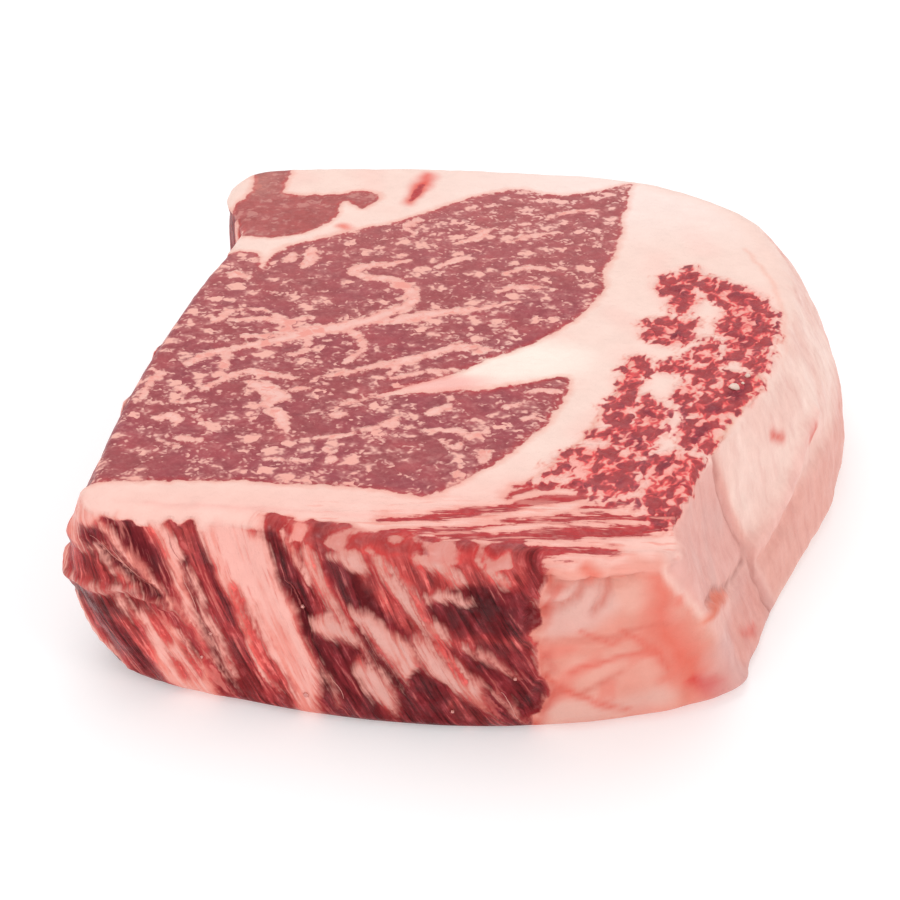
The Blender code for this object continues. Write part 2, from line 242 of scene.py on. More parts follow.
# Each is its kind of colour, its widths, and its points. They are laid in order, so a later one covers.
WALL_LINES = (
    ("fat", (4.0, 7.0, 4.0), ((-7, 39), (-3, 35.5), (-4, 31))),
    ("fat", (3.0, 2.0), ((-9, 23), (-6, 19))),
    ("dark", (3.0, 9.0, 8.0, 4.0), ((-1, 34), (3, 31), (7, 27), (11, 23))),
    ("lean", (4.0, 6.0, 4.0), ((-5, 28), (-3, 25), (0, 25))),
    ("bright", (2.0, 2.6, 1.4), ((-5, 27), (-3, 24), (0, 24.6))),
    ("deep", (1.5, 3.5, 2.0), ((1, 31), (5, 27), (10, 24))),
    ("bright", (0.8, 1.4, 0.8), ((-2, 31), (1, 27), (5, 24.5))),
    ("fat", (0.5, 0.9, 0.5), ((1, 33), (4, 29.5), (7, 26))),
    ("fat", (0.5, 0.7, 0.4), ((0, 31), (3, 27), (6, 24))),
    ("lean", (9.0, 9.0, 7.0), ((-3, 19), (3, 12), (8, 3))),
    ("dark", (2.0, 4.0, 2.5), ((-2, 20), (1, 13), (4, 5))),
    ("fat", (0.5, 1.0, 0.6), ((3, 22), (5, 17), (8, 11))),
    ("bright", (1.2, 2.0, 1.0), ((2, 18), (5, 12), (9, 5))),
    ("fat", (1.0, 2.0, 1.4), ((-6, 16), (-4, 9), (0, 3))),
    ("dark", (4.8, 5.6, 4.4, 3.0), ((3.5, 39), (7, 35), (10, 31), (12, 27))),
    ("deep", (2.0, 3.0, 1.5), ((5, 36.5), (7.5, 33), (10.5, 29))),
    ("fat", (1.6, 2.4, 1.6, 1.0), ((1, 36.5), (5, 32.5), (8, 28.5), (12, 23), (15, 18))),
    ("bright", (3.0, 4.6, 2.6), ((8, 39.5), (11, 36.5), (13, 32))),
    ("fat", (4.0, 8.0, 10.5, 9.0), ((7, 18), (10.5, 13.5), (12, 8), (14.5, 2))),
    ("bright", (1.2, 2.8, 1.4), ((6, 22), (8, 17), (10.5, 13.5))),
    ("bright", (0.8, 1.4, 0.8), ((9, 11.5), (11, 8), (12, 5))),
    ("bright", (0.6, 1.2, 0.6), ((13, 15), (14.5, 10), (15, 6))),
    ("fat", (1.6, 2.8, 2.4, 1.6, 1.2), ((10, 38), (13, 33), (14.5, 27), (15, 22), (17.5, 15), (20, 8),
    (22, 3))),
    ("bright", (2.2, 3.0, 2.0), ((14.5, 39.5), (16.5, 34.5), (18, 30))),
    ("dark", (2.0, 3.0, 2.8, 2.0), ((15.5, 31), (17.5, 22), (19, 15), (20.5, 8), (23, 2))),
    ("fat", (0.6, 1.0, 0.8), ((16.2, 29), (18.2, 21), (20.5, 13), (22, 7))),
    ("lean", (2.6, 5.0, 5.6, 5.4, 4.6), ((18, 36), (20, 30), (23, 23), (26, 15), (28.5, 7), (30, 1))),
    ("dark", (1.0, 2.0, 1.2), ((19, 33), (21, 27), (23.5, 19))),
    ("bright", (1.2, 2.4, 2.6, 1.6), ((20.5, 33), (23, 27), (25.5, 20), (29, 9))),
    ("fat", (9.0, 10.4, 11.0, 9.6, 8.4, 6.4, 5.0), (
        (23.2, 41), (23.8, 38), (26, 33), (28.2, 27), (31.3, 21), (34.3, 15), (35.4, 9), (35.6, 2))),
    ("bright", (0.8, 1.8, 1.4, 0.8), ((24, 27), (26, 22), (28, 16), (29.5, 11))),
    ("bright", (0.7, 1.5, 1.4, 1.0), ((27.5, 23), (29, 16), (31, 10), (32, 5))),
    ("fat", (0.6, 1.0, 0.6), ((25, 21), (27.5, 13), (30, 6))),
    ("lean", (1.0, 2.4, 3.4), ((26, 12), (29, 6), (32, 1.5))),
    ("bright", (2.4, 3.4, 2.4), ((27.5, 40), (31, 38), (34.5, 35.5))),
    ("dark", (3.0, 4.6, 5.0, 3.6, 2.0), ((31.5, 37), (34, 33.5), (36, 28), (37.6, 22), (38.2, 17.5))),
    ("deep", (1.0, 2.6, 1.6), ((34, 30), (36.3, 25), (37.8, 20))),
    ("fat", (0.6, 1.2, 0.8), ((34, 38.5), (36.5, 34), (38.5, 30))),
    ("bright", (2.0, 3.4, 2.6), ((37, 38), (39.5, 34), (41, 30))),
    ("dark", (5.0, 8.6, 9.6, 10.4), ((41, 20), (42.5, 16), (44, 10), (44, 2))),
    ("deep", (1.4, 3.0, 3.4), ((39.6, 18), (40.4, 11), (41.5, 4))),
    ("fat", (0.4, 0.8, 0.5), ((38.8, 15), (41, 9), (42, 4))),
    ("bright", (1.0, 2.0, 1.4), ((46.5, 15), (48, 11), (49, 7))),
    ("dark", (5.0, 7.4, 7.4, 5.0, 3.4), ((44, 33), (48, 29), (52, 24.5), (57, 20), (62, 17))),
    ("bright", (1.6, 3.0, 2.6, 1.8), ((48, 33.5), (54, 26), (60, 20.5), (64, 16.5))),
    ("fat", (1.4, 2.6, 2.4, 1.6), ((38.5, 36), (41, 30), (43.6, 24.5))),
    ("fat", (2.0, 4.4, 3.0), ((39.5, 21.5), (42, 21.5), (45.5, 19.5))),
    ("fat", (1.4, 1.8, 1.6, 1.0), ((43, 25), (47, 19.5), (50.5, 14), (53, 9.5))),
    ("fat", (2.4, 4.6, 5.0, 2.6), ((47, 25), (51, 21), (54.5, 17), (57, 12))),
    ("bright", (0.8, 1.4, 0.8), ((48, 21.5), (51, 18), (54, 13))),
    ("dark", (2.0, 3.0, 2.8), ((46.5, 21.5), (50.5, 16), (53.8, 10), (55.5, 4))),
    ("fat", (2.0, 4.6, 3.8, 1.0), ((46.8, 13.5), (49, 10.4), (50.8, 7.2), (52.4, 4))),
    ("bright", (1.4, 2.4, 1.8), ((50.4, 4.4), (52.4, 2.4), (54, 0.8))),
    ("bright", (2.0, 3.0, 2.0), ((40, 38.5), (46, 37.5), (52, 38.5))),
    ("dark", (1.4, 2.6, 1.4), ((36, 40), (43, 38), (50, 39.5))),
    ("fat", (1.4, 2.6, 1.4), ((43, 35.5), (46.5, 35.8), (49, 34.5))),
    ("bright", (4.0, 7.0, 8.0, 7.0), ((53, 36.5), (59, 35), (66, 36), (74, 36.5))),
    ("fat", (2.0, 3.6, 3.8, 2.2), ((51, 36.5), (54.5, 32), (58.5, 27), (62, 22))),
    ("bright", (0.6, 1.2, 0.6), ((53, 34.5), (57, 30), (60, 25))),
    ("fat", (1.6, 2.6, 1.4), ((58, 38.2), (63, 36.4), (66, 33.5))),
    ("fat", (1.0, 1.8, 1.0), ((69, 38.5), (72, 36), (74, 33))),
    ("dark", (5.0, 9.4, 10.4, 8.4), ((62, 27.5), (67, 28), (72, 28), (75.5, 27))),
    ("deep", (2.0, 4.4, 2.0), ((66, 29.5), (71, 29), (75, 28))),
    ("fat", (0.8, 1.6, 0.8), ((60, 30), (63.5, 30.5), (67, 29.5))),
    ("fat", (2.6, 5.8, 5.4, 3.0, 1.2), ((57.5, 19.5), (61.5, 15.5), (66, 11.5), (70, 7.5), (74, 2))),
    ("bright", (0.8, 1.6, 0.8), ((60, 19), (64, 15), (67, 12.5))),
    ("dark", (3.0, 5.2, 4.6, 3.2), ((67, 19), (72, 15.5), (76, 12), (77.5, 6))),
    ("fat", (0.8, 1.4, 0.8), ((66, 20.3), (71, 17.5), (75, 13))),
    ("dark", (5.0, 7.2, 7.0, 6.0), ((57.5, 12), (59, 9), (60, 6), (60, 1))),
    ("deep", (1.4, 3.0, 1.8), ((57.5, 10), (59, 7), (60, 3))),
    ("bright", (1.6, 3.0, 2.6), ((63, 7), (66, 4.6), (71, 2.0))),
    ("dark", (4.0, 5.6, 5.0), ((71, 11.5), (73, 7), (75, 2))),
    ("fat", (0.5, 1.0, 0.6), ((71.5, 10), (74, 6), (76, 2))),
    ("bright", (0.8, 1.2, 1.2, 0.9), ((56, 22), (62, 21.4), (68, 21.2), (74, 21.4), (78.5, 21.8))),
    ("lean", (2.4, 4.0, 3.0, 2.0), ((77.5, 40), (79.0, 37.5), (79.6, 35.5), (79, 33))),
)
# Folds in the fat at the right end of the front wall, each darkened along its line as painted shade.
SIDE_FOLDS = (
    ((81, 35.6), (84, 34.4), (87.5, 35.4), (91, 34.2), (96, 35.6)),
    ((87.5, 35.4), (86, 32.5), (83.5, 30.0), (80.5, 28.5)),
    ((91, 34.2), (90, 31), (88.4, 28)),
    ((80, 22), (85, 21.4), (90, 22.2), (95, 23.4), (99, 22.6)),
    ((84, 8.4), (88, 11.2), (92, 13.8)),
)

# The fat that closes the front wall on its right, and what shows in it.
SIDE_FAT_EDGE = (
    (81, 41), (81, 35), (79.2, 30), (77.2, 25), (78.4, 21), (79, 15), (80, 10), (77.5, 5), (77.0, -1),
)
SIDE_VEINLETS = (
    ((0.7, 0.5), ((83, 34), (81.5, 31), (80, 28))),
    ((0.8, 1.2, 0.6), ((84, 14), (88, 15.5), (92, 17), (96, 16.5))),
    ((1.0, 1.4, 0.7), ((80, 13), (85, 8), (92, 4))),
    ((0.6, 0.9, 0.6), ((92, 24), (95, 20), (98, 12))),
    ((0.5, 0.8, 0.5), ((86, 24), (90, 21), (93, 22))),
)
RED_COLUMN = ((2.0, 3.6, 4.4, 3.0), ((99, 35), (99.3, 29), (98, 22), (100, 12), (102, 4)))

# What stands out of the wall or is sunk in it: how far, where its slope begins and ends, widths and points.
WALL_RELIEF = (
    (0.8, -1.5, 2.0, (5.0, 7.0, 4.0), ((-6, 38), (-3, 34), (-6, 30))),
    (0.9, -1.2, 1.0, (3.0, 2.5), ((-9, 22), (-5, 20))),
    (-1.3, -1.2, 1.0, (1.5, 2.5, 1.5), ((34.5, 28), (36.5, 25), (38, 20))),
    (-0.9, -1.2, 1.2, (1.4, 3.0, 1.6), ((0, 31), (5, 27), (10, 24))),
    (0.55, -0.9, 0.4, (0.8, 1.0, 0.8), ((-8, 20.5), (-3, 22), (0, 23), (3, 23.5), (8, 22.5), (12, 21))),
    (-0.8, -1.0, 0.8, (1.5, 2.5, 2.0), ((78, 30), (78, 22), (80, 15), (79, 8))),
    (1.6, -1.2, 1.4, (3.0, 4.6, 3.6, 3.0), ((81, 38.5), (87, 38), (94, 38.4), (101, 38))),
    (1.3, -3.0, 2.0, (4.0, 5.0), ((97, 1.5), (106, 1.0))),
    (-1.0, -1.8, 0.6, (0.8, 1.2, 1.4, 1.2), ((108, 22.6), (113, 20.4), (120, 16), (130, 14), (136, 15))),
    (0.8, -1.6, 1.0, (1.4, 2.6, 2.6, 1.2), ((106, 20), (110, 19.4), (115, 17.4), (120, 15.4))),
    (-0.9, -1.4, 0.5, (0.8, 1.0, 1.2, 1.0), ((137, 38), (135.5, 28), (136, 15), (134.5, 2))),
    (1.4, -2.6, 1.0, (1.6, 2.6, 2.6, 1.6), (
        (137, 14.6), (143, 15), (150, 18), (158, 20), (166, 24), (176, 25))),
    (-0.8, -2.6, 1.0, (1.4, 2.0, 1.4), ((140, 11), (150, 13.5), (166, 18), (180, 19))),
)
SUNK_FOLDS = SIDE_FOLDS[:3]


# ---- shape ---------------------------------------------------------------------------------------------


def fade(value, start, end):
    """0 up to start, 1 from end on, smooth between."""
    share = np.clip((value - start) / (end - start), 0, 1)
    return share * share * (3 - 2 * share)


class Outline:
    """The closed smooth curve through the stations, measured along the upper face."""

    def __init__(self, stations):
        rows = np.array(stations, float)
        following = np.roll(rows, -1, axis=0)
        spans = np.linalg.norm(following[:, :2] - rows[:, :2], axis=1) ** 0.5
        before = np.roll(spans, 1)
        arriving = (rows - np.roll(rows, 1, axis=0)) / before[:, None]
        leaving = (following - rows) / spans[:, None]
        self.slopes = (arriving * spans[:, None] + leaving * before[:, None]) / (spans + before)[:, None]
        self.rows, self.spans = rows, spans
        self.fine = np.linspace(0, len(rows), 40 * len(rows) + 1)
        steps = np.linalg.norm(np.diff(self.curve(self.fine)[:, :2], axis=0), axis=1)
        self.lengths = np.concatenate([[0], np.cumsum(steps)])
        self.length = self.lengths[-1]

    def curve(self, where):
        """The curve at these places, counted in stations."""
        count = len(self.rows)
        first = np.floor(where).astype(int) % count
        second = (first + 1) % count
        u = (where - np.floor(where))[:, None]
        span = self.spans[first][:, None]
        rows, slopes = self.rows, self.slopes
        start = (2 * u**3 - 3 * u**2 + 1) * rows[first] + (u**3 - 2 * u**2 + u) * span * slopes[first]
        end = (3 * u**2 - 2 * u**3) * rows[second] + (u**3 - u**2) * span * slopes[second]
        return start + end

    def at(self, distances):
        """The curve at these distances round the upper face."""
        return self.curve(np.interp(np.mod(distances, self.length), self.lengths, self.fine))


def outward(points):
    """The level direction that points out of a closed ring, at each of its points."""
    along = np.roll(points, -1, axis=0) - np.roll(points, 1, axis=0)
    across = np.stack([along[:, 1], -along[:, 0]], axis=1)
    return across / np.linalg.norm(across, axis=1)[:, None]


def bundles(distance, height):
    """How far the muscle bundles stand out of the wall."""
    here = fade(distance, BUNDLES_FROM, BUNDLES_FROM + BUNDLES_FADE)
    here = here * (1 - fade(distance, BUNDLES_TO - BUNDLES_FADE, BUNDLES_TO))
    level = np.sin(np.pi * np.clip(height / THICKNESS, 0, 1))
    phase = 2 * np.pi * (distance + BUNDLE_LEAN * (height - THICKNESS)) / BUNDLE_WIDTH
    return BUNDLE_DEPTH * here * level * np.sin(phase)


def ring(rows, distances, height, inset):
    """A level ring: between the two outlines, swollen, and pulled in by inset."""
    share = height / THICKNESS
    points = rows[:, 2:4] * (1 - share) + rows[:, 0:2] * share
    swell = rows[:, 4] * 4 * share * (1 - share) + bundles(distances, height)
    points = points + outward(points) * (swell - inset)[:, None]
    return np.column_stack([points, np.full(len(points), height)])


def dip(points, middle, reach, depth):
    """How far a round hollow lowers these points."""
    away = np.linalg.norm(points[:, :2] - middle, axis=1)
    return depth * np.exp(-((away / reach) ** 2))


def lower_face(points):
    """The upper face's hollows, which the rim and the top of the wall follow."""
    share = fade(points[:, 2], THICKNESS / 2, THICKNESS)
    fall = dip(points, EYE_MIDDLE, EYE_REACH, EYE_DIP) + dip(points, CORNER_MIDDLE, CORNER_REACH, CORNER_DIP)
    lowered = points.copy()
    lowered[:, 2] -= share * fall
    return lowered


def side_distances(length):
    """Distances round the rim of the grid's border points, from the front left corner and back to it."""
    corners = (0.0, FRONT_RIGHT, BACK_RIGHT, BACK_LEFT, length)
    counts = (ACROSS, DEEP, ACROSS, DEEP)
    spaced = [np.linspace(a, b, n, endpoint=False) for a, b, n in zip(corners, corners[1:], counts)]
    return np.concatenate(spaced)


def patch_grid(border, across, deep):
    """A grid of points over a face, from the points round its edge."""
    front = border[: across + 1]
    right = border[across : across + deep + 1]
    back = border[across + deep : 2 * across + deep + 1][::-1]
    left = np.concatenate([border[2 * across + deep :], border[:1]])[::-1]
    u = np.linspace(0, 1, across + 1)[None, :, None]
    v = np.linspace(0, 1, deep + 1)[:, None, None]
    ruled = (1 - v) * front[None] + v * back[None] + (1 - u) * left[:, None] + u * right[:, None]
    corners = (1 - u) * (1 - v) * front[0] + u * (1 - v) * front[-1]
    corners = corners + (1 - u) * v * back[0] + u * v * back[-1]
    return ruled - corners


def border_numbers(across, deep, first):
    """The grid's own point numbers, in order round its edge."""
    grid = np.arange((across + 1) * (deep + 1)).reshape(deep + 1, across + 1) + first
    return grid, np.concatenate([grid[0, :-1], grid[:-1, -1], grid[-1, :0:-1], grid[:0:-1, 0]])


# ---- painting ------------------------------------------------------------------------------------------


def lumps(points, size, seed):
    """Smooth noise, about -1 to 1, whose features are about size across. points has three columns."""
    moved = points / size + np.array([17.3, 5.1, 9.7]) * seed
    return np.array([noise.noise(point) for point in moved.tolist()])


def line_depth(points, widths, path):
    """How deep each point is inside a line of varying width; negative outside."""
    path = np.array(path, float)
    spots = np.linspace(0, len(path) - 1, 4 * (len(path) - 1) + 1)
    path = smooth_path(path, spots, closed=False)
    widths = np.interp(np.linspace(0, 1, len(path)), np.linspace(0, 1, len(widths)), widths)
    depth = np.full(len(points), -9.0)
    reach = max(widths) / 2 + 9.0
    near = np.all((points > path.min(0) - reach) & (points < path.max(0) + reach), axis=1)
    close = points[near]
    best = depth[near]
    for start, end, wide, next_wide in zip(path, path[1:], widths, widths[1:]):
        along = end - start
        share = np.clip((close - start) @ along / (along @ along), 0, 1)
        away = np.linalg.norm(close - start - share[:, None] * along, axis=1)
        best = np.maximum(best, (wide + (next_wide - wide) * share) / 2 - away)
    depth[near] = best
    return depth


def smooth_path(path, spots, closed):
    """Points on a smooth curve through the path, at these places counted in its points."""
    count = len(path)
    first = np.floor(spots).astype(int)
    u = (spots - first)[:, None]
    numbers = [first + step for step in (-1, 0, 1, 2)]
    if closed:
        numbers = [value % count for value in numbers]
    else:
        numbers = [np.clip(value, 0, count - 1) for value in numbers]
    before, here, then, after = (path[value] for value in numbers)
    bend = 2 * before - 5 * here + 4 * then - after
    return here + 0.5 * u * (then - before + u * (bend + u * (3 * (here - then) + after - before)))


def patch_depth(points, outline):
    """How deep each point is inside a closed smooth outline; negative outside."""
    outline = np.array(outline, float)
    spots = np.arange(0, len(outline), 0.34)
    outline = smooth_path(outline, spots, closed=True)
    depth = np.full(len(points), -9.0)
    near = np.all((points > outline.min(0) - 9) & (points < outline.max(0) + 9), axis=1)
    close = points[near]
    away = np.full(len(close), 99.0)
    inside = np.zeros(len(close), bool)
    for start, end in zip(outline, np.roll(outline, -1, axis=0)):
        along = end - start
        share = np.clip((close - start) @ along / max(along @ along, 1e-9), 0, 1)
        away = np.minimum(away, np.linalg.norm(close - start - share[:, None] * along, axis=1))
        crossed = (start[1] > close[:, 1]) != (end[1] > close[:, 1])
        rise = end[1] - start[1] if end[1] != start[1] else 1.0
        inside ^= crossed & (close[:, 0] < start[0] + along[0] * (close[:, 1] - start[1]) / rise)
    depth[near] = np.where(inside, away, -away)
    return depth


def toward(colours, colour, share):
    """The colours, moved towards one colour by each point's share."""
    return colours + (np.array(colour) - colours) * np.clip(share, 0, 1)[:, None]


class Paint:
    """What each point of one surface is made of. Depths are in millimetres, and negative outside a shape."""

    # The film's mask holds painted shadow, which darkens the lean under the hanging film.
    MASKS = ("flecks", "network", "fibre", "streaks", "wet", "film_and_painted_shadow", "skin")

    def __init__(self, points, lean, fat):
        self.points = points
        self.lean = np.full(len(points), -9.0)
        self.lean_tint = np.tile(np.array(lean), (len(points), 1))
        self.fat_tint = np.tile(np.array(fat), (len(points), 1))
        self.mask = {name: np.zeros(len(points)) for name in self.MASKS}

    def line(self, widths, path):
        return line_depth(self.points, widths, path)

    def patch(self, outline):
        return patch_depth(self.points, outline)

    def add_lean(self, depth, colour=None, soft=0.6):
        self.lean = np.maximum(self.lean, depth)
        if colour is not None:
            self.tint_lean(colour, fade(depth, -soft, soft))

    def add_fat(self, depth, colour=None, soft=0.6):
        self.lean = np.minimum(self.lean, -depth)
        if colour is not None:
            self.tint_fat(colour, fade(depth, -soft, soft))

    def tint_lean(self, colour, share):
        self.lean_tint = toward(self.lean_tint, colour, share)

    def tint_fat(self, colour, share):
        self.fat_tint = toward(self.fat_tint, colour, share)

    def stain(self, depth, colour, soft, share=1.0):
        """Colours the fat inside a shape whose edge is this soft on either side."""
        self.tint_fat(colour, share * fade(depth, -soft, soft))

    def set_mask(self, name, value):
        self.mask[name] = np.maximum(self.mask[name], np.clip(value, 0, 1))


def paint_face(flat, place):
    """The upper face. flat is x and y; place has three columns, for noise."""
    wobble = np.column_stack([lumps(place, 2.6, 1), lumps(place, 2.6, 2)])
    wide = np.column_stack([lumps(place, 8.0, 3), lumps(place, 8.0, 4)])
    spots = flat + 0.55 * wobble + 0.7 * wide
    x, y = flat[:, 0], flat[:, 1]
    paint = Paint(spots, EYE_LEAN, FACE_FAT)
    mottle = lumps(place, 9.0, 5)

    # The fat: pinker along the front, creamy by the wedge, pale pink at the back and on the right; the paler
    # back is partly painted sheen.
    front = 1 - fade(y, 9, 30)
    paint.tint_fat((0.93, 0.53, 0.46), 0.8 * front)
    paint.tint_fat((0.94, 0.60, 0.53), 0.55 * fade(mottle, -0.1, 0.7))
    cream = fade(-np.linalg.norm((flat - (14, 62)) / (14, 8), axis=1), -1.4, -0.5)
    paint.tint_fat((0.97, 0.82, 0.73), cream)
    pink = fade(-np.linalg.norm((flat - (-2, 53.5)) / (10, 3.5), axis=1), -1.3, -0.4)
    paint.tint_fat((0.92, 0.50, 0.45), pink)
    # Partly painted sheen: the fat towards the back is made paler, as well as being paler in itself.
    paint.tint_fat((0.96, 0.76, 0.70), fade(y, 100, 135) * fade(x, -20, 40))
    outer = paint.line((6, 8, 8, 8), ((56, 40), (67, 66), (72, 92), (66, 126), (48, 142)))
    paint.stain(outer, (0.93, 0.66, 0.58), 3.0, 0.8)
    seam = paint.line((0.7, 0.9, 0.7), ((66.3, 60), (68, 75), (68, 92), (64, 108)))
    paint.stain(seam, (0.90, 0.42, 0.33), 0.8, 0.55)

    # The eye with its lobe, and the muscle behind it on the left.
    eye = paint.patch(EYE)
    paint.add_lean(eye)
    dusk = fade(lumps(place, 14.0, 6), -0.35, 0.45)
    paint.tint_lean((0.32, 0.062, 0.085), 0.55 * dusk)
    paint.tint_lean((0.44, 0.085, 0.095), 0.5 * fade(lumps(place, 6.0, 7), 0.0, 0.6))
    by_edge = (1 - fade(eye, 0.3, 2.0)) * fade(eye, -1, 0)
    paint.tint_lean((0.43, 0.050, 0.058), 0.6 * by_edge)
    paint.tint_lean((0.45, 0.125, 0.125), 0.55 * fade(y, 62, 125))
    back = paint.patch(BACK_LEFT_MUSCLE)
    paint.add_lean(back, (0.42, 0.098, 0.094))
    far_end = fade(back, -1, 1) * (1 - fade(x, -44, -36)) * fade(y, 130, 138)
    paint.tint_lean((0.46, 0.16, 0.14), far_end)
    for widths, path in VEINS:
        paint.add_fat(paint.line(widths, path), VEIN_FAT)
    paint.add_fat(paint.line((1.4, 1.1, 0.8, 0.5), WEDGE_SEAM), VEIN_FAT)
    paint.set_mask("flecks", fade(eye, -0.5, 0.8))
    paint.set_mask("flecks", 0.25 * fade(back, -0.5, 0.8))

    # The cap round the right side: islands split by fat.
    cap = np.full(len(flat), -9.0)
    for outline in CAP:
        cap = np.maximum(cap, paint.patch(outline))
    for widths, path in CAP_STRIPS:
        cap = np.maximum(cap, paint.line(widths, path))
    paint.add_lean(cap + 0.75, CAP_LEAN, 1.5)
    cap_middle = fade(cap, 0.6, 2.2) * fade(lumps(place, 4.0, 8), -0.5, 0.4)
    paint.tint_lean((0.30, 0.040, 0.055), cap_middle)
    for widths, path in CAP_LINES:
        paint.add_fat(paint.line(widths, path), VEIN_FAT)
    around_cap = fade(cap, -6, -0.5)
    paint.stain(cap + 0.8, (0.92, 0.41, 0.36), 3.2, 1.0)
    paint.set_mask("network", around_cap)

    # Thin seams: along the inner side of the cap, in the fat of the front, and in the fat on the right.
    inner = ((14, 19.5), (20, 27), (26, 36), (29.5, 44), (33, 53), (36, 62))
    paint.stain(paint.line((0.4, 0.7, 0.7, 0.4), inner), (0.80, 0.36, 0.27), 0.6, 0.6)
    fore = paint.line((0.4, 0.8, 0.8, 0.4), ((-54, 12.5), (-40, 11.5), (-22, 9.5), (-6, 7.5)))
    paint.stain(fore, (0.88, 0.42, 0.37), 0.9, 0.55)
    rind = paint.line((0.4, 0.7, 0.7, 0.4), ((48.5, 30), (54, 42), (59.5, 55), (62.5, 70)))
    paint.stain(rind, (0.82, 0.42, 0.30), 0.6, 0.6)

    # Muscle fibres cut lengthwise along the front edge.
    streaks = np.full(len(flat), -9.0)
    for widths, path in FRONT_STREAKS:
        streaks = np.maximum(streaks, paint.line(widths, path))
    paint.add_lean(streaks, (0.42, 0.048, 0.052), 1.0)
    band = fade(-y, -17, -9) * fade(x, -34, -18) * (1 - fade(x, 37, 43))
    paint.stain(streaks, (0.90, 0.44, 0.38), 4.0, 0.85)
    paint.set_mask("streaks", band)

    # Blood spots in the fat at the back.
    spot = paint.line((3.0, 4.4, 2.0), ((-5, 145), (-7, 138), (-9.4, 130.5)))
    paint.stain(spot, (0.80, 0.16, 0.13), 2.0)
    spot_middle = paint.line((1.0, 2.0, 1.4), ((-6.3, 140), (-7.4, 136), (-8.8, 132)))
    paint.add_lean(spot_middle, (0.40, 0.05, 0.055))
    paint.stain(paint.line((2.6, 2.6), ((-23.5, 119.5), (-23, 119))), (0.85, 0.25, 0.20), 1.2)
    paint.stain(paint.line((1.6, 2.2, 1.6), ((-43.5, 148), (-43.5, 135))), (0.85, 0.28, 0.20), 1.0)
    paint.set_mask("wet", 0.35)
    return paint


WALL_TINTS = {"lean": WALL_LEAN, "dark": DARK_LEAN, "deep": DEEP_LEAN, "bright": BRIGHT_LEAN}


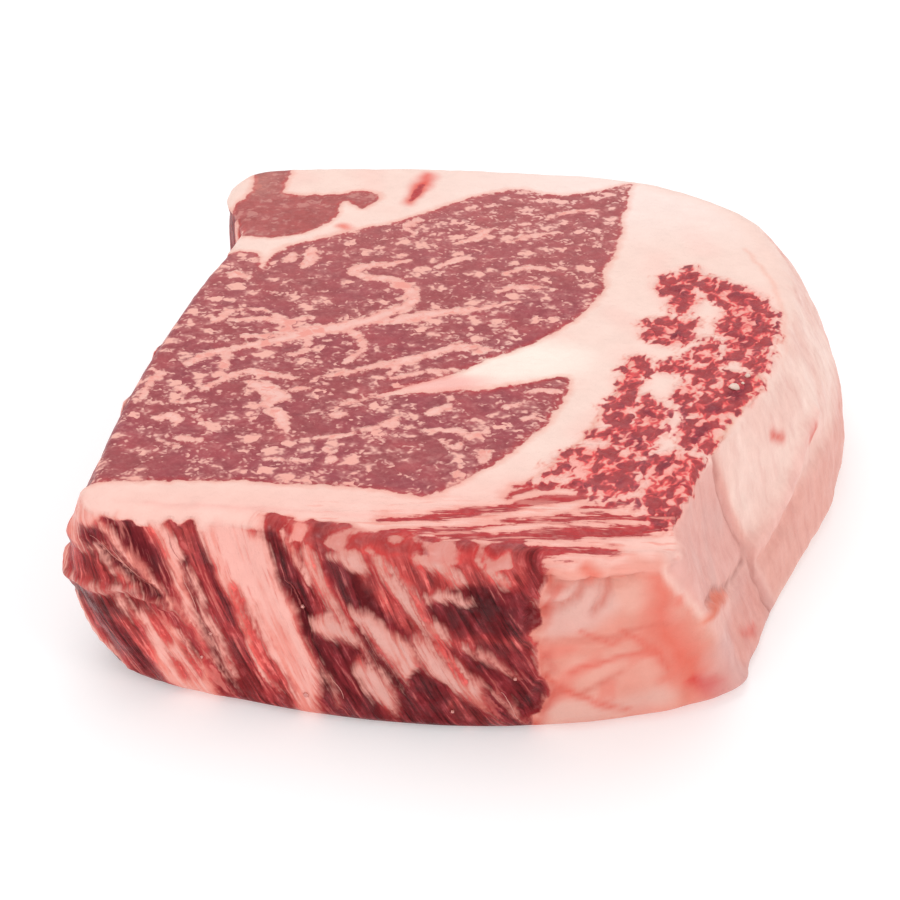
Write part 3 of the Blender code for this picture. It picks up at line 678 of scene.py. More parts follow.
def paint_wall(flat, place):
    """The wall. flat is distance round the rim and height; place has three columns, for noise."""
    wobble = np.column_stack([lumps(place, 2.4, 11), lumps(place, 2.4, 12)])
    wide = np.column_stack([lumps(place, 7.0, 13), lumps(place, 7.0, 14)])
    spots = flat + 0.55 * wobble + 0.8 * wide
    s, z = flat[:, 0], flat[:, 1]
    paint = Paint(spots, WALL_LEAN, STRIPE_FAT)

    # The cut lean of the front wall, which goes on round the left corner and along the left side.
    right = -patch_side(spots, SIDE_FAT_EDGE)
    paint.add_lean(np.minimum(3.0, right))
    paint.tint_lean(DARK_LEAN, 0.6 * fade(lumps(place, 7.0, 15), -0.1, 0.5))
    paint.tint_fat((0.92, 0.52, 0.45), 0.6 * fade(lumps(place, 6.0, 16), -0.2, 0.5))
    corner = paint_left(paint, s, z, place)
    for kind, widths, path in WALL_LINES:
        depth = paint.line(widths, path)
        if kind == "fat":
            paint.add_fat(depth, STRIPE_FAT)
        else:
            paint.add_lean(depth, WALL_TINTS[kind], 0.7)
    crown = fade(z, 35.0, 37.5) * fade(s, 28, 33) * (1 - fade(s, 74, 79))
    reddened = fade(lumps(place, 5.0, 27), -0.5, 0.3)
    paint.tint_lean((0.52, 0.075, 0.070), 0.75 * crown * reddened)
    paint.add_fat(3.4 * lumps(place, 3.6, 26) - 0.6 - 9 * (1 - crown), (0.88, 0.38, 0.33))
    front = (1 - fade(s, 78, 80.5)) * fade(s, -22, -8)
    paint.set_mask("fibre", fade(right, -0.5, 0.8) * (1 - 0.8 * crown) * (1 - corner))
    paint.set_mask("skin", corner)
    paint.set_mask("wet", 0.55 * front + 0.35)

    # The fat between the muscles is duller on the right.
    paint.fat_tint *= (1 - 0.17 * fade(s, 37, 42) * (1 - fade(s, 76, 79)))[:, None]
    # Painted shade: the lean and fat low on the right half of the front wall are darkened towards its foot.
    foot = ((66, 20), (77, 20), (78, -1), (40, -1), (39, 8), (50, 4), (57, 9), (62, 6), (68, 10))
    foot_shade = fade(paint.patch(foot), -1.0, 1.5)
    paint.tint_lean(DARK_LEAN, 0.7 * foot_shade)
    paint.tint_fat((0.62, 0.20, 0.17), 0.6 * foot_shade)

    # The thin film that hangs over the lean near the left corner, and painted shadow that darkens the lean
    # just under it.
    film_and_painted_shadow = ((-8, 20.3), (-3, 22), (0, 23), (3, 23.6), (8, 22.6), (12, 21), (15, 20))
    paint.add_fat(paint.line((0.5, 0.7, 0.5), film_and_painted_shadow), (0.80, 0.42, 0.38))
    # Painted shadow: the patch below the film line, where the lean is darkened.
    below = paint.patch(((-9, 19.5), (-3, 21), (3, 22.6), (8, 21.6), (9, 19), (4, 17), (-3, 16), (-8, 16)))
    paint.set_mask("film_and_painted_shadow", fade(below, -0.5, 2))

    # Fat on the right end of the front wall.
    side = fade(-right, -0.4, 0.6)
    paint.tint_fat(SIDE_FAT, side)
    peach = fade(lumps(place, 8.0, 17), -0.2, 0.5)
    paint.tint_fat((0.80, 0.42, 0.345), 0.7 * peach * side)
    flushed = fade(lumps(place, 4.5, 24), 0.05, 0.5)
    paint.tint_fat((0.76, 0.20, 0.15), 0.6 * side * flushed)
    grey = paint.patch(((80, 24), (81, 33), (88, 34.5), (92, 29), (88, 25), (84, 23)))
    paint.stain(grey, (0.74, 0.45, 0.40), 2.0, 0.65)
    low_grey = paint.patch(((80, 3), (80, 8), (88, 7), (97, 8), (97, 4), (88, 2)))
    paint.stain(low_grey, (0.72, 0.42, 0.36), 2.0, 0.6)
    for widths, path in SIDE_VEINLETS:
        paint.stain(paint.line(widths, path), (0.68, 0.11, 0.075), 0.9, 0.8)
    paint.stain(paint.line(*RED_COLUMN), (0.74, 0.13, 0.085), 3.2, 0.85)
    paint.stain(paint.line((1.5, 2.6, 1.5), ((101, 7), (102.0, 4.5), (102.4, 2))), (0.66, 0.05, 0.04), 1.0)
    # Painted highlight: a pale line down the corner where the front wall turns into the right side.
    paint.stain(paint.line((1.4, 1.6), ((100.5, 37), (103.5, 25), (104, 20))), (0.90, 0.60, 0.52), 0.9, 0.8)
    # Painted shade: each fold is stained dark red along its line.
    for fold in SIDE_FOLDS:
        paint.stain(paint.line((0.4, 0.8, 0.7, 0.4), fold), FOLD_SHADE_RED, 0.9, 0.75)
    lip = paint.patch(((82, 36), (86, 35), (93, 36), (99, 36), (101, 41), (81, 41)))
    paint.stain(lip, (0.86, 0.38, 0.31), 1.2, 0.7)
    lip_spot = paint.line((1.4, 2.2, 1.4), ((86.5, 39), (88.5, 37), (88, 34.8)))
    paint.stain(lip_spot, (0.78, 0.15, 0.10), 1.2, 0.8)
    by_lean = side * (1 - fade(-right, 0.8, 4.0)) * fade(lumps(place, 2.6, 25), -0.5, 0.3)
    paint.tint_fat((0.62, 0.12, 0.09), 0.8 * by_lean)
    heel = paint.line((3, 4), ((96, 1.0), (110, 1.0)))
    paint.stain(heel, (0.80, 0.28, 0.22), 2.5, 0.6)

    # The right side: a greyish membrane, a crease, a ridge, and fat cover that goes on round the back.
    beyond = fade(s, 103.5, 106)
    film_area = paint.patch(((104, 42), (104.5, 24), (112, 20), (125, 16), (135, 16), (136.5, 42)))
    paint.tint_fat((0.84, 0.46, 0.40), beyond)
    paint.stain(film_area, MEMBRANE, 1.5, 1.0)
    paint.stain(film_area, (0.72, 0.42, 0.38), 1.5, 0.6 * fade(lumps(place, 9.0, 18), 0.0, 0.5))
    lower_pale = paint.patch(((106, 14), (120, 12), (134, 12), (134, -2), (104, -2), (103, 8)))
    paint.stain(lower_pale, (0.66, 0.36, 0.33), 2.5, 0.8)
    hem = paint.line((1.6, 3.2, 3.2, 1.6), ((104, 20.5), (109, 20.3), (115, 18), (120, 16)))
    paint.stain(hem, (0.74, 0.17, 0.10), 1.4, 0.9)
    # Painted shade: the crease under the ridge is darkened along its line.
    crease_shade = paint.line((0.5, 0.7, 0.9, 0.8), ((109, 22.4), (115, 20.2), (121, 16.4), (130, 14), (136, 15)))
    paint.stain(crease_shade, (0.36, 0.13, 0.11), 0.8, 0.7)
    low_red = paint.patch(((110, 12), (124, 11), (134, 11), (134, 2), (118, 1), (108, 4)))
    paint.stain(low_red, (0.78, 0.34, 0.28), 2.5, 0.65)
    paint.set_mask("skin", fade(s, 104, 106))
    # Painted shade: a dark line along the sunk groove where the membrane ends.
    edge = ((137, 38.5), (136.5, 33), (135, 28), (134.8, 20), (136, 15), (135, 8), (134, 0))
    paint.stain(paint.line((0.6, 0.8, 1.0, 0.8), edge), (0.50, 0.20, 0.17), 0.8, 0.75)
    rose = paint.line((1.4, 2.0, 1.4), ((138.6, 38), (138.2, 28), (137.8, 18)))
    paint.stain(rose, (0.84, 0.36, 0.27), 1.4, 0.5)
    side_cover = np.maximum(fade(s, 136.5, 139), corner)
    cover = fade(lumps(place, 10.0, 19), -0.4, 0.5)
    paint.tint_fat((0.86, 0.52, 0.45), side_cover)
    paint.tint_fat(CREAM, side_cover * (0.35 + 0.65 * cover) * fade(z, 14, 24))
    meaty = fade(s, 136.5, 139) * (1 - fade(z, 14, 19)) * (1 - fade(s, 196, 215)) * fade(z, 0, 4)
    paint.tint_fat((0.77, 0.36, 0.30), 0.75 * meaty)
    ridge = ((136, 15), (143, 15), (150, 18), (158, 20), (166, 24), (176, 25))
    paint.stain(paint.line((1.6, 2.6, 2.6, 1.6), ridge), (0.88, 0.50, 0.44), 1.6, 0.8)
    paint.stain(paint.line((2.0, 2.0), ((169, 23), (171, 23.4))), (0.70, 0.12, 0.09), 1.4)
    paint.stain(paint.line((2.4, 2.0), ((158, 31), (160, 29))), (0.72, 0.14, 0.11), 1.6)
    paint.stain(paint.line((1.4, 2.4, 1.4), ((117, 7), (120, 5.4), (123, 5))), (0.70, 0.14, 0.11), 1.4, 0.8)
    pinks = fade(lumps(place, 12.0, 20), 0.1, 0.5) * np.maximum(fade(s, 190, 230), corner)
    paint.tint_fat((0.84, 0.42, 0.36), 0.6 * pinks)
    return paint


def patch_side(points, edge):
    """Depth on the right of an edge that runs from the top of the wall to its foot."""
    edge = np.array(edge, float)
    heights = edge[::-1, 1]
    across = np.interp(points[:, 1], heights, edge[::-1, 0])
    return np.clip(points[:, 0] - across, -9, 9)


def paint_left(paint, s, z, place):
    """The left side: cut lean with sheets of fat between its muscles. Gives where the back's fat begins."""
    here = 1 - fade(s, -14, -8)
    wander = s + 5.0 * lumps(place, 16.0, 21) + 0.35 * z
    for middle, wide in ((-24, 2.4), (-47, 3.4), (-66, 2.0), (-88, 4.2)):
        depth = wide / 2 * (1 + 0.5 * lumps(place, 9.0, 22)) - np.abs(wander - middle)
        paint.add_fat(np.where(s < -10, depth, -9.0), STRIPE_FAT)
    flecks = fade(lumps(place, 5.0, 23), 0.0, 0.5)
    paint.tint_lean(BRIGHT_LEAN, 0.5 * flecks * here)
    corner = paint.line((26, 30, 26), ((-150, 42), (-144, 20), (-150, -2)))
    paint.add_fat(corner)
    paint.add_fat(paint.line((5.0, 4.0, 5.0), ((-116, 43), (-112, 22), (-118, -2))), STRIPE_FAT)
    return fade(corner, -0.6, 0.8)


# ---- the mesh ------------------------------------------------------------------------------------------


class Body:
    """The steak's points and faces, with where each point lies on the wall and in the flat map."""

    def __init__(self):
        shape = Outline(STATIONS)
        around = side_distances(shape.length)
        rows = shape.at(around)
        signed = np.where(around > BACK_LEFT, around - shape.length, around)
        quarter = np.linspace(0, np.pi / 2, ARC_ROWS + 1)
        rise, run = 1 - np.cos(quarter), 1 - np.sin(quarter)
        levels = [(UNDERSIDE_ROUND * up, UNDERSIDE_ROUND * inset) for up, inset in zip(rise[:-1], run[:-1])]
        wall_heights = np.linspace(UNDERSIDE_ROUND, THICKNESS - RIM_ROUND, WALL_ROWS + 1)
        levels += [(height, 0.0) for height in wall_heights]
        rim_steps = zip(run[1:], rise[1:])
        levels += [(THICKNESS - RIM_ROUND * drop, RIM_ROUND * inset) for drop, inset in rim_steps]
        rings = [lower_face(ring(rows, signed, height, inset)) for height, inset in levels]
        wall = rings[:-1]
        rim_flat = ring(rows, signed, THICKNESS, RIM_ROUND)[:, :2]
        face = patch_grid(rim_flat, ACROSS, DEEP).reshape(-1, 2)
        face = lower_face(np.column_stack([face, np.full(len(face), THICKNESS)]))
        count = len(around)
        inner = rings[0][::2, :2] - outward(rings[0][:, :2])[::2] * UNDERSIDE_INSET
        under = patch_grid(inner, ACROSS // 2, DEEP // 2).reshape(-1, 2)
        under = np.column_stack([under, np.zeros(len(under))])

        self.face_count, self.wall_count = len(face), len(wall) * count
        self.points = np.concatenate([face, *wall, under])
        self.signed = np.tile(signed, len(wall))
        self.rim = rim_flat
        grid, rim_numbers = border_numbers(ACROSS, DEEP, 0)
        wall_numbers = np.arange(self.wall_count).reshape(len(wall), count) + self.face_count
        columns = np.vstack([wall_numbers, rim_numbers[None]])
        under_grid, under_rim = border_numbers(ACROSS // 2, DEEP // 2, self.face_count + self.wall_count)

        heights = np.array([level[0] for level in levels])
        insets = np.array([level[1] for level in levels])
        climb = np.concatenate([[0], np.cumsum(np.hypot(np.diff(heights), np.diff(insets)))])
        self.faces, self.map = [], []
        self.add_face(grid)
        self.add_wall(columns, np.append(around, shape.length), climb)
        self.add_underside(under_grid, under_rim, wall_numbers[0])

    def add(self, corners, spots):
        """Faces, one per row of point numbers, and the place in the flat map of each of their corners."""
        self.faces += corners.tolist()
        self.map.append(spots.reshape(-1, 2))

    def add_level(self, corners, layout):
        """Faces that lie level, which keep their own outline in the flat map."""
        flat = self.points[:, :2][corners]
        self.add(corners, (flat - layout["corner"]) / layout["span"] + layout["place"])

    def add_face(self, grid):
        corners = [grid[:-1, :-1], grid[:-1, 1:], grid[1:, 1:], grid[1:, :-1]]
        self.add_level(np.stack(corners, axis=-1).reshape(-1, 4), FACE_MAP)

    def add_wall(self, columns, around, climb):
        count = len(around) - 1
        i = np.arange(count)
        j = (i + 1) % count
        starts = np.array([0, ACROSS, ACROSS + DEEP, 2 * ACROSS + DEEP])
        which = np.searchsorted(starts, i, side="right") - 1
        corner_u, corner_v = np.array(STRIP_PLACES)[which].T
        left = corner_u + (around[i] - around[starts[which]]) / STRIP_SPAN
        right = corner_u + (around[i + 1] - around[starts[which]]) / STRIP_SPAN
        for row in range(len(columns) - 1):
            lower, upper = columns[row], columns[row + 1]
            corners = np.stack([lower[i], lower[j], upper[j], upper[i]], axis=-1)
            low, high = corner_v + climb[row] / STRIP_SPAN, corner_v + climb[row + 1] / STRIP_SPAN
            pairs = ((left, low), (right, low), (right, high), (left, high))
            self.add(corners, np.stack([np.stack(pair, -1) for pair in pairs], 1))

    def add_underside(self, grid, inner, outer):
        """A grid, and the triangles that join it to the wall's foot, which has twice as many points."""
        corners = [grid[:-1, :-1], grid[1:, :-1], grid[1:, 1:], grid[:-1, 1:]]
        self.add_level(np.stack(corners, axis=-1).reshape(-1, 4), UNDERSIDE_MAP)
        k = np.arange(len(inner))
        then = (k + 1) % len(inner)
        a, b, c = outer[2 * k], outer[2 * k + 1], outer[(2 * k + 2) % len(outer)]
        triangles = ((inner[k], inner[then], b), (inner[then], c, b), (inner[k], b, a))
        self.add_level(np.concatenate([np.stack(three, -1) for three in triangles]), UNDERSIDE_MAP)


def wall_relief(s, z, lean, place):
    """How far the wall stands out, in millimetres, beyond the smooth body."""
    grain = np.column_stack([
        0.86 * (place[:, 0] - place[:, 1]) + 0.5 * place[:, 2],
        0.10 * (0.5 * (place[:, 0] - place[:, 1]) - 0.86 * place[:, 2]),
        0.10 * (place[:, 0] + place[:, 1]),
    ])
    cut = (1 - fade(s, 76, 82)) * fade(s, -138, -130)
    fibres = 0.42 * lumps(grain, 2.6, 31) + 0.34 * lumps(grain, 5.2, 32) + 0.20 * lumps(grain, 1.5, 35)
    fibres *= 0.35 + 0.65 * fade(s, -16, 0)
    proud = 0.42 * fade(-lean, -0.6, 1.0) - 0.30 * fade(lean, 0.0, 1.6)
    relief = cut * (fibres + proud)
    flat = np.column_stack([s + 0.9 * lumps(place, 3.0, 36), z + 0.7 * lumps(place, 3.0, 37)])
    for rise, start, end, widths, path in WALL_RELIEF:
        relief += rise * fade(line_depth(flat, widths, path), start, end)
    for fold in SUNK_FOLDS:
        relief -= 1.2 * fade(line_depth(flat, (0.4, 0.9, 0.7, 0.4), fold), -1.1, 0.3)
    soft = 1 - cut
    lumpy = 0.55 * lumps(place, 11.0, 33) + 0.30 * lumps(place, 4.0, 34) + 0.10 * lumps(place, 1.8, 38)
    relief += soft * lumpy
    return relief * fade(z, 0.3, 3.0)


def face_relief(x, y, lean, place):
    """How far the upper face stands up, in millimetres, over the smooth body."""
    relief = 0.10 * fade(-lean, -0.5, 0.8) + 0.16 * lumps(place, 7.0, 41) + 0.08 * lumps(place, 2.4, 42)
    long = place * (0.16, 1.0, 1.0)
    band = (1 - fade(y, 9, 18)) * fade(x, -40, -20)
    relief += band * 0.30 * lumps(long, 1.9, 43)
    flat = np.column_stack([x, y])
    seam = line_depth(flat, (0.8, 1.0, 0.6), ((-28, 43), (-20, 46.5), (-12, 50.3), (0, 51)))
    relief -= 0.35 * fade(seam, -1.2, 0.4)
    return relief


def front_cut(s):
    """1 where the front wall's cut muscles run up over the rim, 0 elsewhere."""
    return fade(s, 26, 32) * (1 - fade(s, 78, 82))


def wrap_over(body, top, face):
    """Runs the front wall's looks a little way over the rim, onto the upper face."""
    near = np.nonzero(face[:, 1] < 16)[0]
    gaps = np.linalg.norm(face[near][:, None, :2] - body.rim[None], axis=2)
    nearest = np.argmin(gaps, axis=1)
    away, s = gaps.min(axis=1), body.signed[nearest]
    near, away, s = near[away < 6], away[away < 6], s[away < 6]
    place = face[near]
    side = paint_wall(np.column_stack([s, THICKNESS + 0.4 * away]), place)
    reach = away + 1.2 * lumps(place, 2.2, 45) + 1.2 * lumps(place, 6.0, 46)
    share = (1 - fade(reach, -0.4, 1.4)) * front_cut(s)
    top.lean[near] += (side.lean - top.lean[near]) * share
    top.lean_tint[near] = toward(top.lean_tint[near], side.lean_tint, share)
    top.fat_tint[near] = toward(top.fat_tint[near], side.fat_tint, share)
    for name in Paint.MASKS:
        top.mask[name][near] += (side.mask[name] - top.mask[name][near]) * share


def raised(wall):
    """The wall's points, lifted to the level of the upper face."""
    return wall * (1, 1, 0) + (0, 0, THICKNESS)


# The underside repeats the upper face's layout, stretched and shifted to its own outline.
UNDERSIDE_STRETCH, UNDERSIDE_SHIFT = (0.93, 0.98), (-4.5, 0.5)


def all_paint(body):
    """The paint of every point, with the upper face's running a little way down from the rim."""
    face = body.points[: body.face_count]
    wall = body.points[body.face_count : body.face_count + body.wall_count]
    top = paint_face(face[:, :2], face)
    side = paint_wall(np.column_stack([body.signed, wall[:, 2]]), wall)
    wrap_over(body, top, face)
    rounded = paint_face(wall[:, :2], raised(wall))
    ruffled = wall[:, 2] + 0.9 * lumps(wall, 2.2, 47) + 0.9 * lumps(wall, 5.0, 48)
    share = fade(ruffled, 37.6, 39.2) * (1 - front_cut(body.signed)) * fade(wall[:, 2], 36.0, 37.5)
    under_count = len(body.points) - body.face_count - body.wall_count
    under = body.points[-under_count:]
    below = paint_face(under[:, :2] * UNDERSIDE_STRETCH + UNDERSIDE_SHIFT, under)

    def join(pick):
        spread = share if pick(side).ndim == 1 else share[:, None]
        blended = pick(side) + (pick(rounded) - pick(side)) * spread
        return np.concatenate([pick(top), blended, pick(below)])

    fields = {"lean": join(lambda p: np.clip(p.lean, -4, 4))}
    for name in Paint.MASKS:
        fields[name] = join(lambda p, name=name: p.mask[name])
    colours = {name: join(lambda p, name=name: getattr(p, name)) for name in ("lean_tint", "fat_tint")}
    return fields, colours


def all_relief(body, lean):
    """How far each point is moved along its normal, in millimetres."""
    first, last = body.face_count, body.face_count + body.wall_count
    face, wall = body.points[:first], body.points[first:last]
    relief = np.zeros(len(body.points))
    relief[:first] = face_relief(face[:, 0], face[:, 1], lean[:first], face)
    top_wall = face_relief(wall[:, 0], wall[:, 1], lean[first:last], raised(wall))
    side_wall = wall_relief(body.signed, wall[:, 2], lean[first:last], wall)
    share = fade(wall[:, 2], 38.2, 39.8)
    relief[first:last] = side_wall * (1 - share) + top_wall * share
    return relief


def store(mesh, fields, colours):
    """Keeps what the material reads at each point of the mesh."""
    for name, values in fields.items():
        mesh.attributes.new(name, "FLOAT", "POINT").data.foreach_set("value", values.astype(np.float32))
    for name, values in colours.items():
        full = np.column_stack([values, np.ones(len(values))]).astype(np.float32)
        mesh.attributes.new(name, "FLOAT_COLOR", "POINT").data.foreach_set("color", full.ravel())


def make_steak():
    body = Body()
    fields, colours = all_paint(body)
    mesh = bpy.data.meshes.new("steak_meat")
    placed = (body.points - (*BOX_MIDDLE, 0)) * MM
    mesh.from_pydata(placed.tolist(), [], body.faces)
    normals = np.zeros(len(body.points) * 3, np.float32)
    mesh.vertices.foreach_get("normal", normals)
    normals = normals.reshape(-1, 3)
    placed += normals * all_relief(body, fields["lean"])[:, None] * MM
    placed[:, 2] = np.maximum(placed[:, 2], 0)
    mesh.vertices.foreach_set("co", placed.astype(np.float32).ravel())
    store(mesh, fields, colours)
    flat = mesh.uv_layers.new(name="OFBake")
    flat.data.foreach_set("uv", np.concatenate(body.map).astype(np.float32).ravel())
    mesh.materials.append(meat_finish())
    mesh.shade_smooth()
    mesh.update()
    steak = bpy.data.objects.new("steak_meat", mesh)
    bpy.context.scene.collection.objects.link(steak)
    return steak, Surface(body, placed, normals)


# ---- materials -----------------------------------------------------------------------------------------


class Value:
    """A value in a material, with arithmetic."""

    def __init__(self, graph, socket):
        self.graph, self.socket = graph, socket

    def other(self, out):
        """Another output of the same node."""
        return Value(self.graph, self.socket.node.outputs[out])

    def __add__(self, other):
        return self.graph.maths("ADD", self, other)

    def __sub__(self, other):
        return self.graph.maths("SUBTRACT", self, other)

    def __mul__(self, other):
        return self.graph.maths("MULTIPLY", self, other)

    def __truediv__(self, other):
        return self.graph.maths("DIVIDE", self, other)

    def __rsub__(self, other):
        return self.graph.maths("SUBTRACT", other, self)

    __radd__, __rmul__ = __add__, __mul__


class Graph:
    """A material's nodes."""

    def __init__(self, name):
        self.material = bpy.data.materials.new(name)
        self.material.use_nodes = True
        self.nodes, self.links = self.material.node_tree.nodes, self.material.node_tree.links
        self.shader = self.nodes["Principled BSDF"]

    def put(self, socket, value):
        if isinstance(value, Value):
            self.links.new(value.socket, socket)
        else:
            socket.default_value = value

    def node(self, kind, settings=None, sockets=None, out=0):
        """A node of any type, with its settings and its sockets' values or links. Gives one output."""
        made = self.nodes.new(kind)
        for name, value in (settings or {}).items():
            setattr(made, name, value)
        for name, value in (sockets or {}).items():
            self.put(made.inputs[name], value)
        return Value(self, made.outputs[out])

    def maths(self, operation, first, second=0.0):
        return self.node("ShaderNodeMath", {"operation": operation}, {0: first, 1: second})

    def most(self, first, second):
        return self.maths("MAXIMUM", first, second)

    def clamp(self, value):
        return self.node("ShaderNodeClamp", None, {"Value": value})

    def step(self, value, low, high):
        """0 below low, 1 above high, smooth between."""
        settings = {"interpolation_type": "SMOOTHSTEP"}
        return self.node("ShaderNodeMapRange", settings, {"Value": value, "From Min": low, "From Max": high})

    def mix(self, first, second, share):
        sockets = {0: share, 6: self.full(first), 7: self.full(second)}
        return self.node("ShaderNodeMix", {"data_type": "RGBA"}, sockets, out=2)

    def full(self, colour):
        return colour if isinstance(colour, Value) else (*colour, 1.0)

    def tinted(self, colour, parts, share):
        """The colour, with its red, green and blue scaled by these parts where share is 1."""
        return self.mix(colour, self.times(colour, parts), share)

    def mix_values(self, first, second, share):
        return self.node("ShaderNodeMix", None, {0: share, 2: first, 3: second})

    def scale(self, vector, by):
        return self.node("ShaderNodeVectorMath", {"operation": "SCALE"}, {0: vector, "Scale": by})

    def times(self, vector, by):
        return self.node("ShaderNodeVectorMath", {"operation": "MULTIPLY"}, {0: vector, 1: by})

    def sum(self, first, second):
        return self.node("ShaderNodeVectorMath", {"operation": "ADD"}, {0: first, 1: second})

    def attribute(self, name, out="Fac"):
        return self.node("ShaderNodeAttribute", {"attribute_name": name}, out=out)

    def place(self):
        """Where a point is on the piece, in millimetres."""
        return self.scale(self.node("ShaderNodeTexCoord", out="Object"), 1 / MM)

    def noise(self, place, size, detail=2.0, rough=0.5, twist=0.0):
        sockets = {"Vector": place, "Scale": 1 / size, "Detail": detail}
        sockets.update({"Roughness": rough, "Distortion": twist})
        return self.node("ShaderNodeTexNoise", None, sockets)

    def swirl(self, place, scale, reach):
        """A shift in some direction, up to this reach, that changes smoothly from place to place."""
        sockets = {"Vector": place, "Scale": scale, "Detail": 1.0}
        return self.scale(self.node("ShaderNodeTexNoise", None, sockets, out="Color"), reach)

    def dots(self, place, size, share):
        """How deep a point is in round dots, which lie in about this share of the cells; negative outside."""
        away = self.node("ShaderNodeTexVoronoi", None, {"Vector": place, "Scale": 1 / size}, out="Distance")
        picked = self.node("ShaderNodeSeparateXYZ", None, {0: away.other("Color")})
        return (picked - (1 - share)) * 0.62 - away

    def bump(self, height, depth):
        return self.node("ShaderNodeBump", None, {"Height": height, "Distance": depth, "Strength": 1.0})

    def give(self, **values):
        for name, value in values.items():
            self.put(self.shader.inputs[name.replace("_", " ")], value)
        return self.material


def meat_finish():
    """Lean, fat and all that lies between them, from what each point stores and from noise in millimetres."""
    g = Graph("raw beef")
    place = g.place()
    x = g.node("ShaderNodeSeparateXYZ", None, {0: place})
    y, z = x.other(1), x.other(2)
    lean, fibre, streaks = g.attribute("lean"), g.attribute("fibre"), g.attribute("streaks")
    flecks, network, wet = g.attribute("flecks"), g.attribute("network"), g.attribute("wet")
    film_and_painted_shadow, skin = g.attribute("film_and_painted_shadow"), g.attribute("skin")
    lean_tint, fat_tint = g.attribute("lean_tint", "Color"), g.attribute("fat_tint", "Color")

    # Fibres that lean to the right on their way down the wall, and others along the front edge.
    across = (x - y) * 0.86 + z * 0.5
    along = ((x - y) * 0.5 - z * 0.86) * 0.09
    grain = g.node("ShaderNodeCombineXYZ", None, {0: across, 1: along, 2: (x + y) * 0.09})
    fine_grain = g.noise(grain, 0.8, 3.0, 0.6)
    wide_grain = g.noise(grain, 2.6, 3.0, 0.6, 0.5)
    long_grain = g.noise(g.times(place, (0.13, 1.0, 1.0)), 1.1, 3.0, 0.6)

    # Marbling: flecks of two sizes, drawn out a little from left to right and crowded in some places.
    crumb = g.noise(place, 1.15, 2.0)
    crowd = g.noise(place, 9.0, 2.0)
    stirred = g.sum(g.times(place, (0.80, 1.0, 1.0)), g.swirl(place, 0.62, 3.6))
    large = g.dots(stirred, 3.1, 0.80) + (crowd - 0.5) * 0.50
    small = g.dots(stirred, 1.5, 0.72) + (crowd - 0.5) * 0.40
    marbled = g.most(g.step(large, -0.11, 0.12), g.step(small, -0.12, 0.20) * 0.85) * flecks
    hazy = g.most(g.step(large, -0.36, 0.0), g.step(small, -0.30, 0.05)) * flecks

    # The cap's bundles, and the net of fat between them.
    turned = {0: x * 0.9 - y * 0.45, 1: (x * 0.45 + y * 0.9) * 0.52, 2: z}
    slant = g.node("ShaderNodeCombineXYZ", None, turned)
    strand = g.noise(g.sum(slant, g.swirl(place, 0.42, 2.0)), 1.3, 1.0, 0.5)
    patchy = g.noise(place, 3.4, 1.0)
    threads = g.step(fine_grain + (wide_grain - 0.5) * 0.9, 0.60, 0.74) * fibre
    hairs = g.step(long_grain + (crowd - 0.5) * 0.3, 0.56, 0.66) * streaks

    # Where lean ends, with a ragged edge.
    rough_edge = g.noise(place, 2.0, 3.0, 0.6)
    tone = g.noise(place, 3.0, 3.0, 0.6)
    ragged = (rough_edge - 0.5) * (1.5 + flecks * 2.6 - fibre * 0.3) + (tone - 0.5) * 1.2 * fibre
    ragged = ragged + ((fine_grain - 0.5) * 2.8 + (wide_grain - 0.5) * 4.0) * fibre
    ragged = ragged + ((strand - 0.5) * 9.5 + (patchy - 0.5) * 5.0) * network
    depth = g.mix_values(lean, g.maths("MINIMUM", lean, 1.1), network)
    edge = depth + ragged + (long_grain - 0.5) * 5.0 * streaks
    share = g.step(edge / (0.26 + fibre * 0.65 + flecks * 0.14 + network * 0.24), -1.0, 1.0)
    fatty = g.clamp(marbled + threads * 0.45 + hairs * 0.8)
    share = share * (1 - fatty)

    # Lean: darker inside, brighter by its edges; fibres on the wall, partly their own streaks and partly
    # painted shade in their grooves; a fine pale grain on the cut face.
    inside = g.step(edge, 0.1, 1.5)
    lean_colour = g.mix(g.times(lean_tint, (1.25, 0.90, 0.88)), lean_tint, g.clamp(inside + flecks * 0.7))
    lean_colour = g.scale(lean_colour, 0.70 + tone * 0.60)
    haze = g.step(crumb, 0.42, 0.70) * 0.14 * (1 - fibre) + hazy * 0.40
    lean_colour = g.mix(lean_colour, (0.66, 0.27, 0.25), haze)
    # The wall's fibre stripes: partly the lean's own streaks, partly painted light and shade, pale where the
    # bump is high and dark where it is low.
    stripes = g.step(wide_grain + (fine_grain - 0.5) * 0.6, 0.36, 0.66)
    striped = g.mix(g.scale(lean_colour, 0.62), g.times(lean_colour, (1.50, 2.0, 1.9)), stripes)
    lean_colour = g.mix(lean_colour, striped, fibre * 0.9)
    # Painted shade: the lowest parts of the fibres' bump are darkened.
    lean_colour = g.scale(lean_colour, 1 - g.step(fine_grain, 0.46, 0.34) * fibre * 0.40)
    rosy = g.step(rough_edge + (fine_grain - 0.5) * 0.8, 0.54, 0.72) * fibre * 0.45
    lean_colour = g.tinted(lean_colour, (1.8, 3.2, 3.0), rosy)
    bundle_edge = g.times(lean_colour, (1.45, 1.6, 1.6))
    bundle_middle = g.times(lean_colour, (0.80, 0.80, 0.86))
    bundled = g.mix(bundle_edge, bundle_middle, g.step(edge, 0.0, 1.6))
    lean_colour = g.mix(lean_colour, bundled, network * 0.9)
    # Painted shadow: the lean under the hanging film near the left corner is darkened.
    lean_colour = g.scale(lean_colour, 1 - film_and_painted_shadow * 0.4)

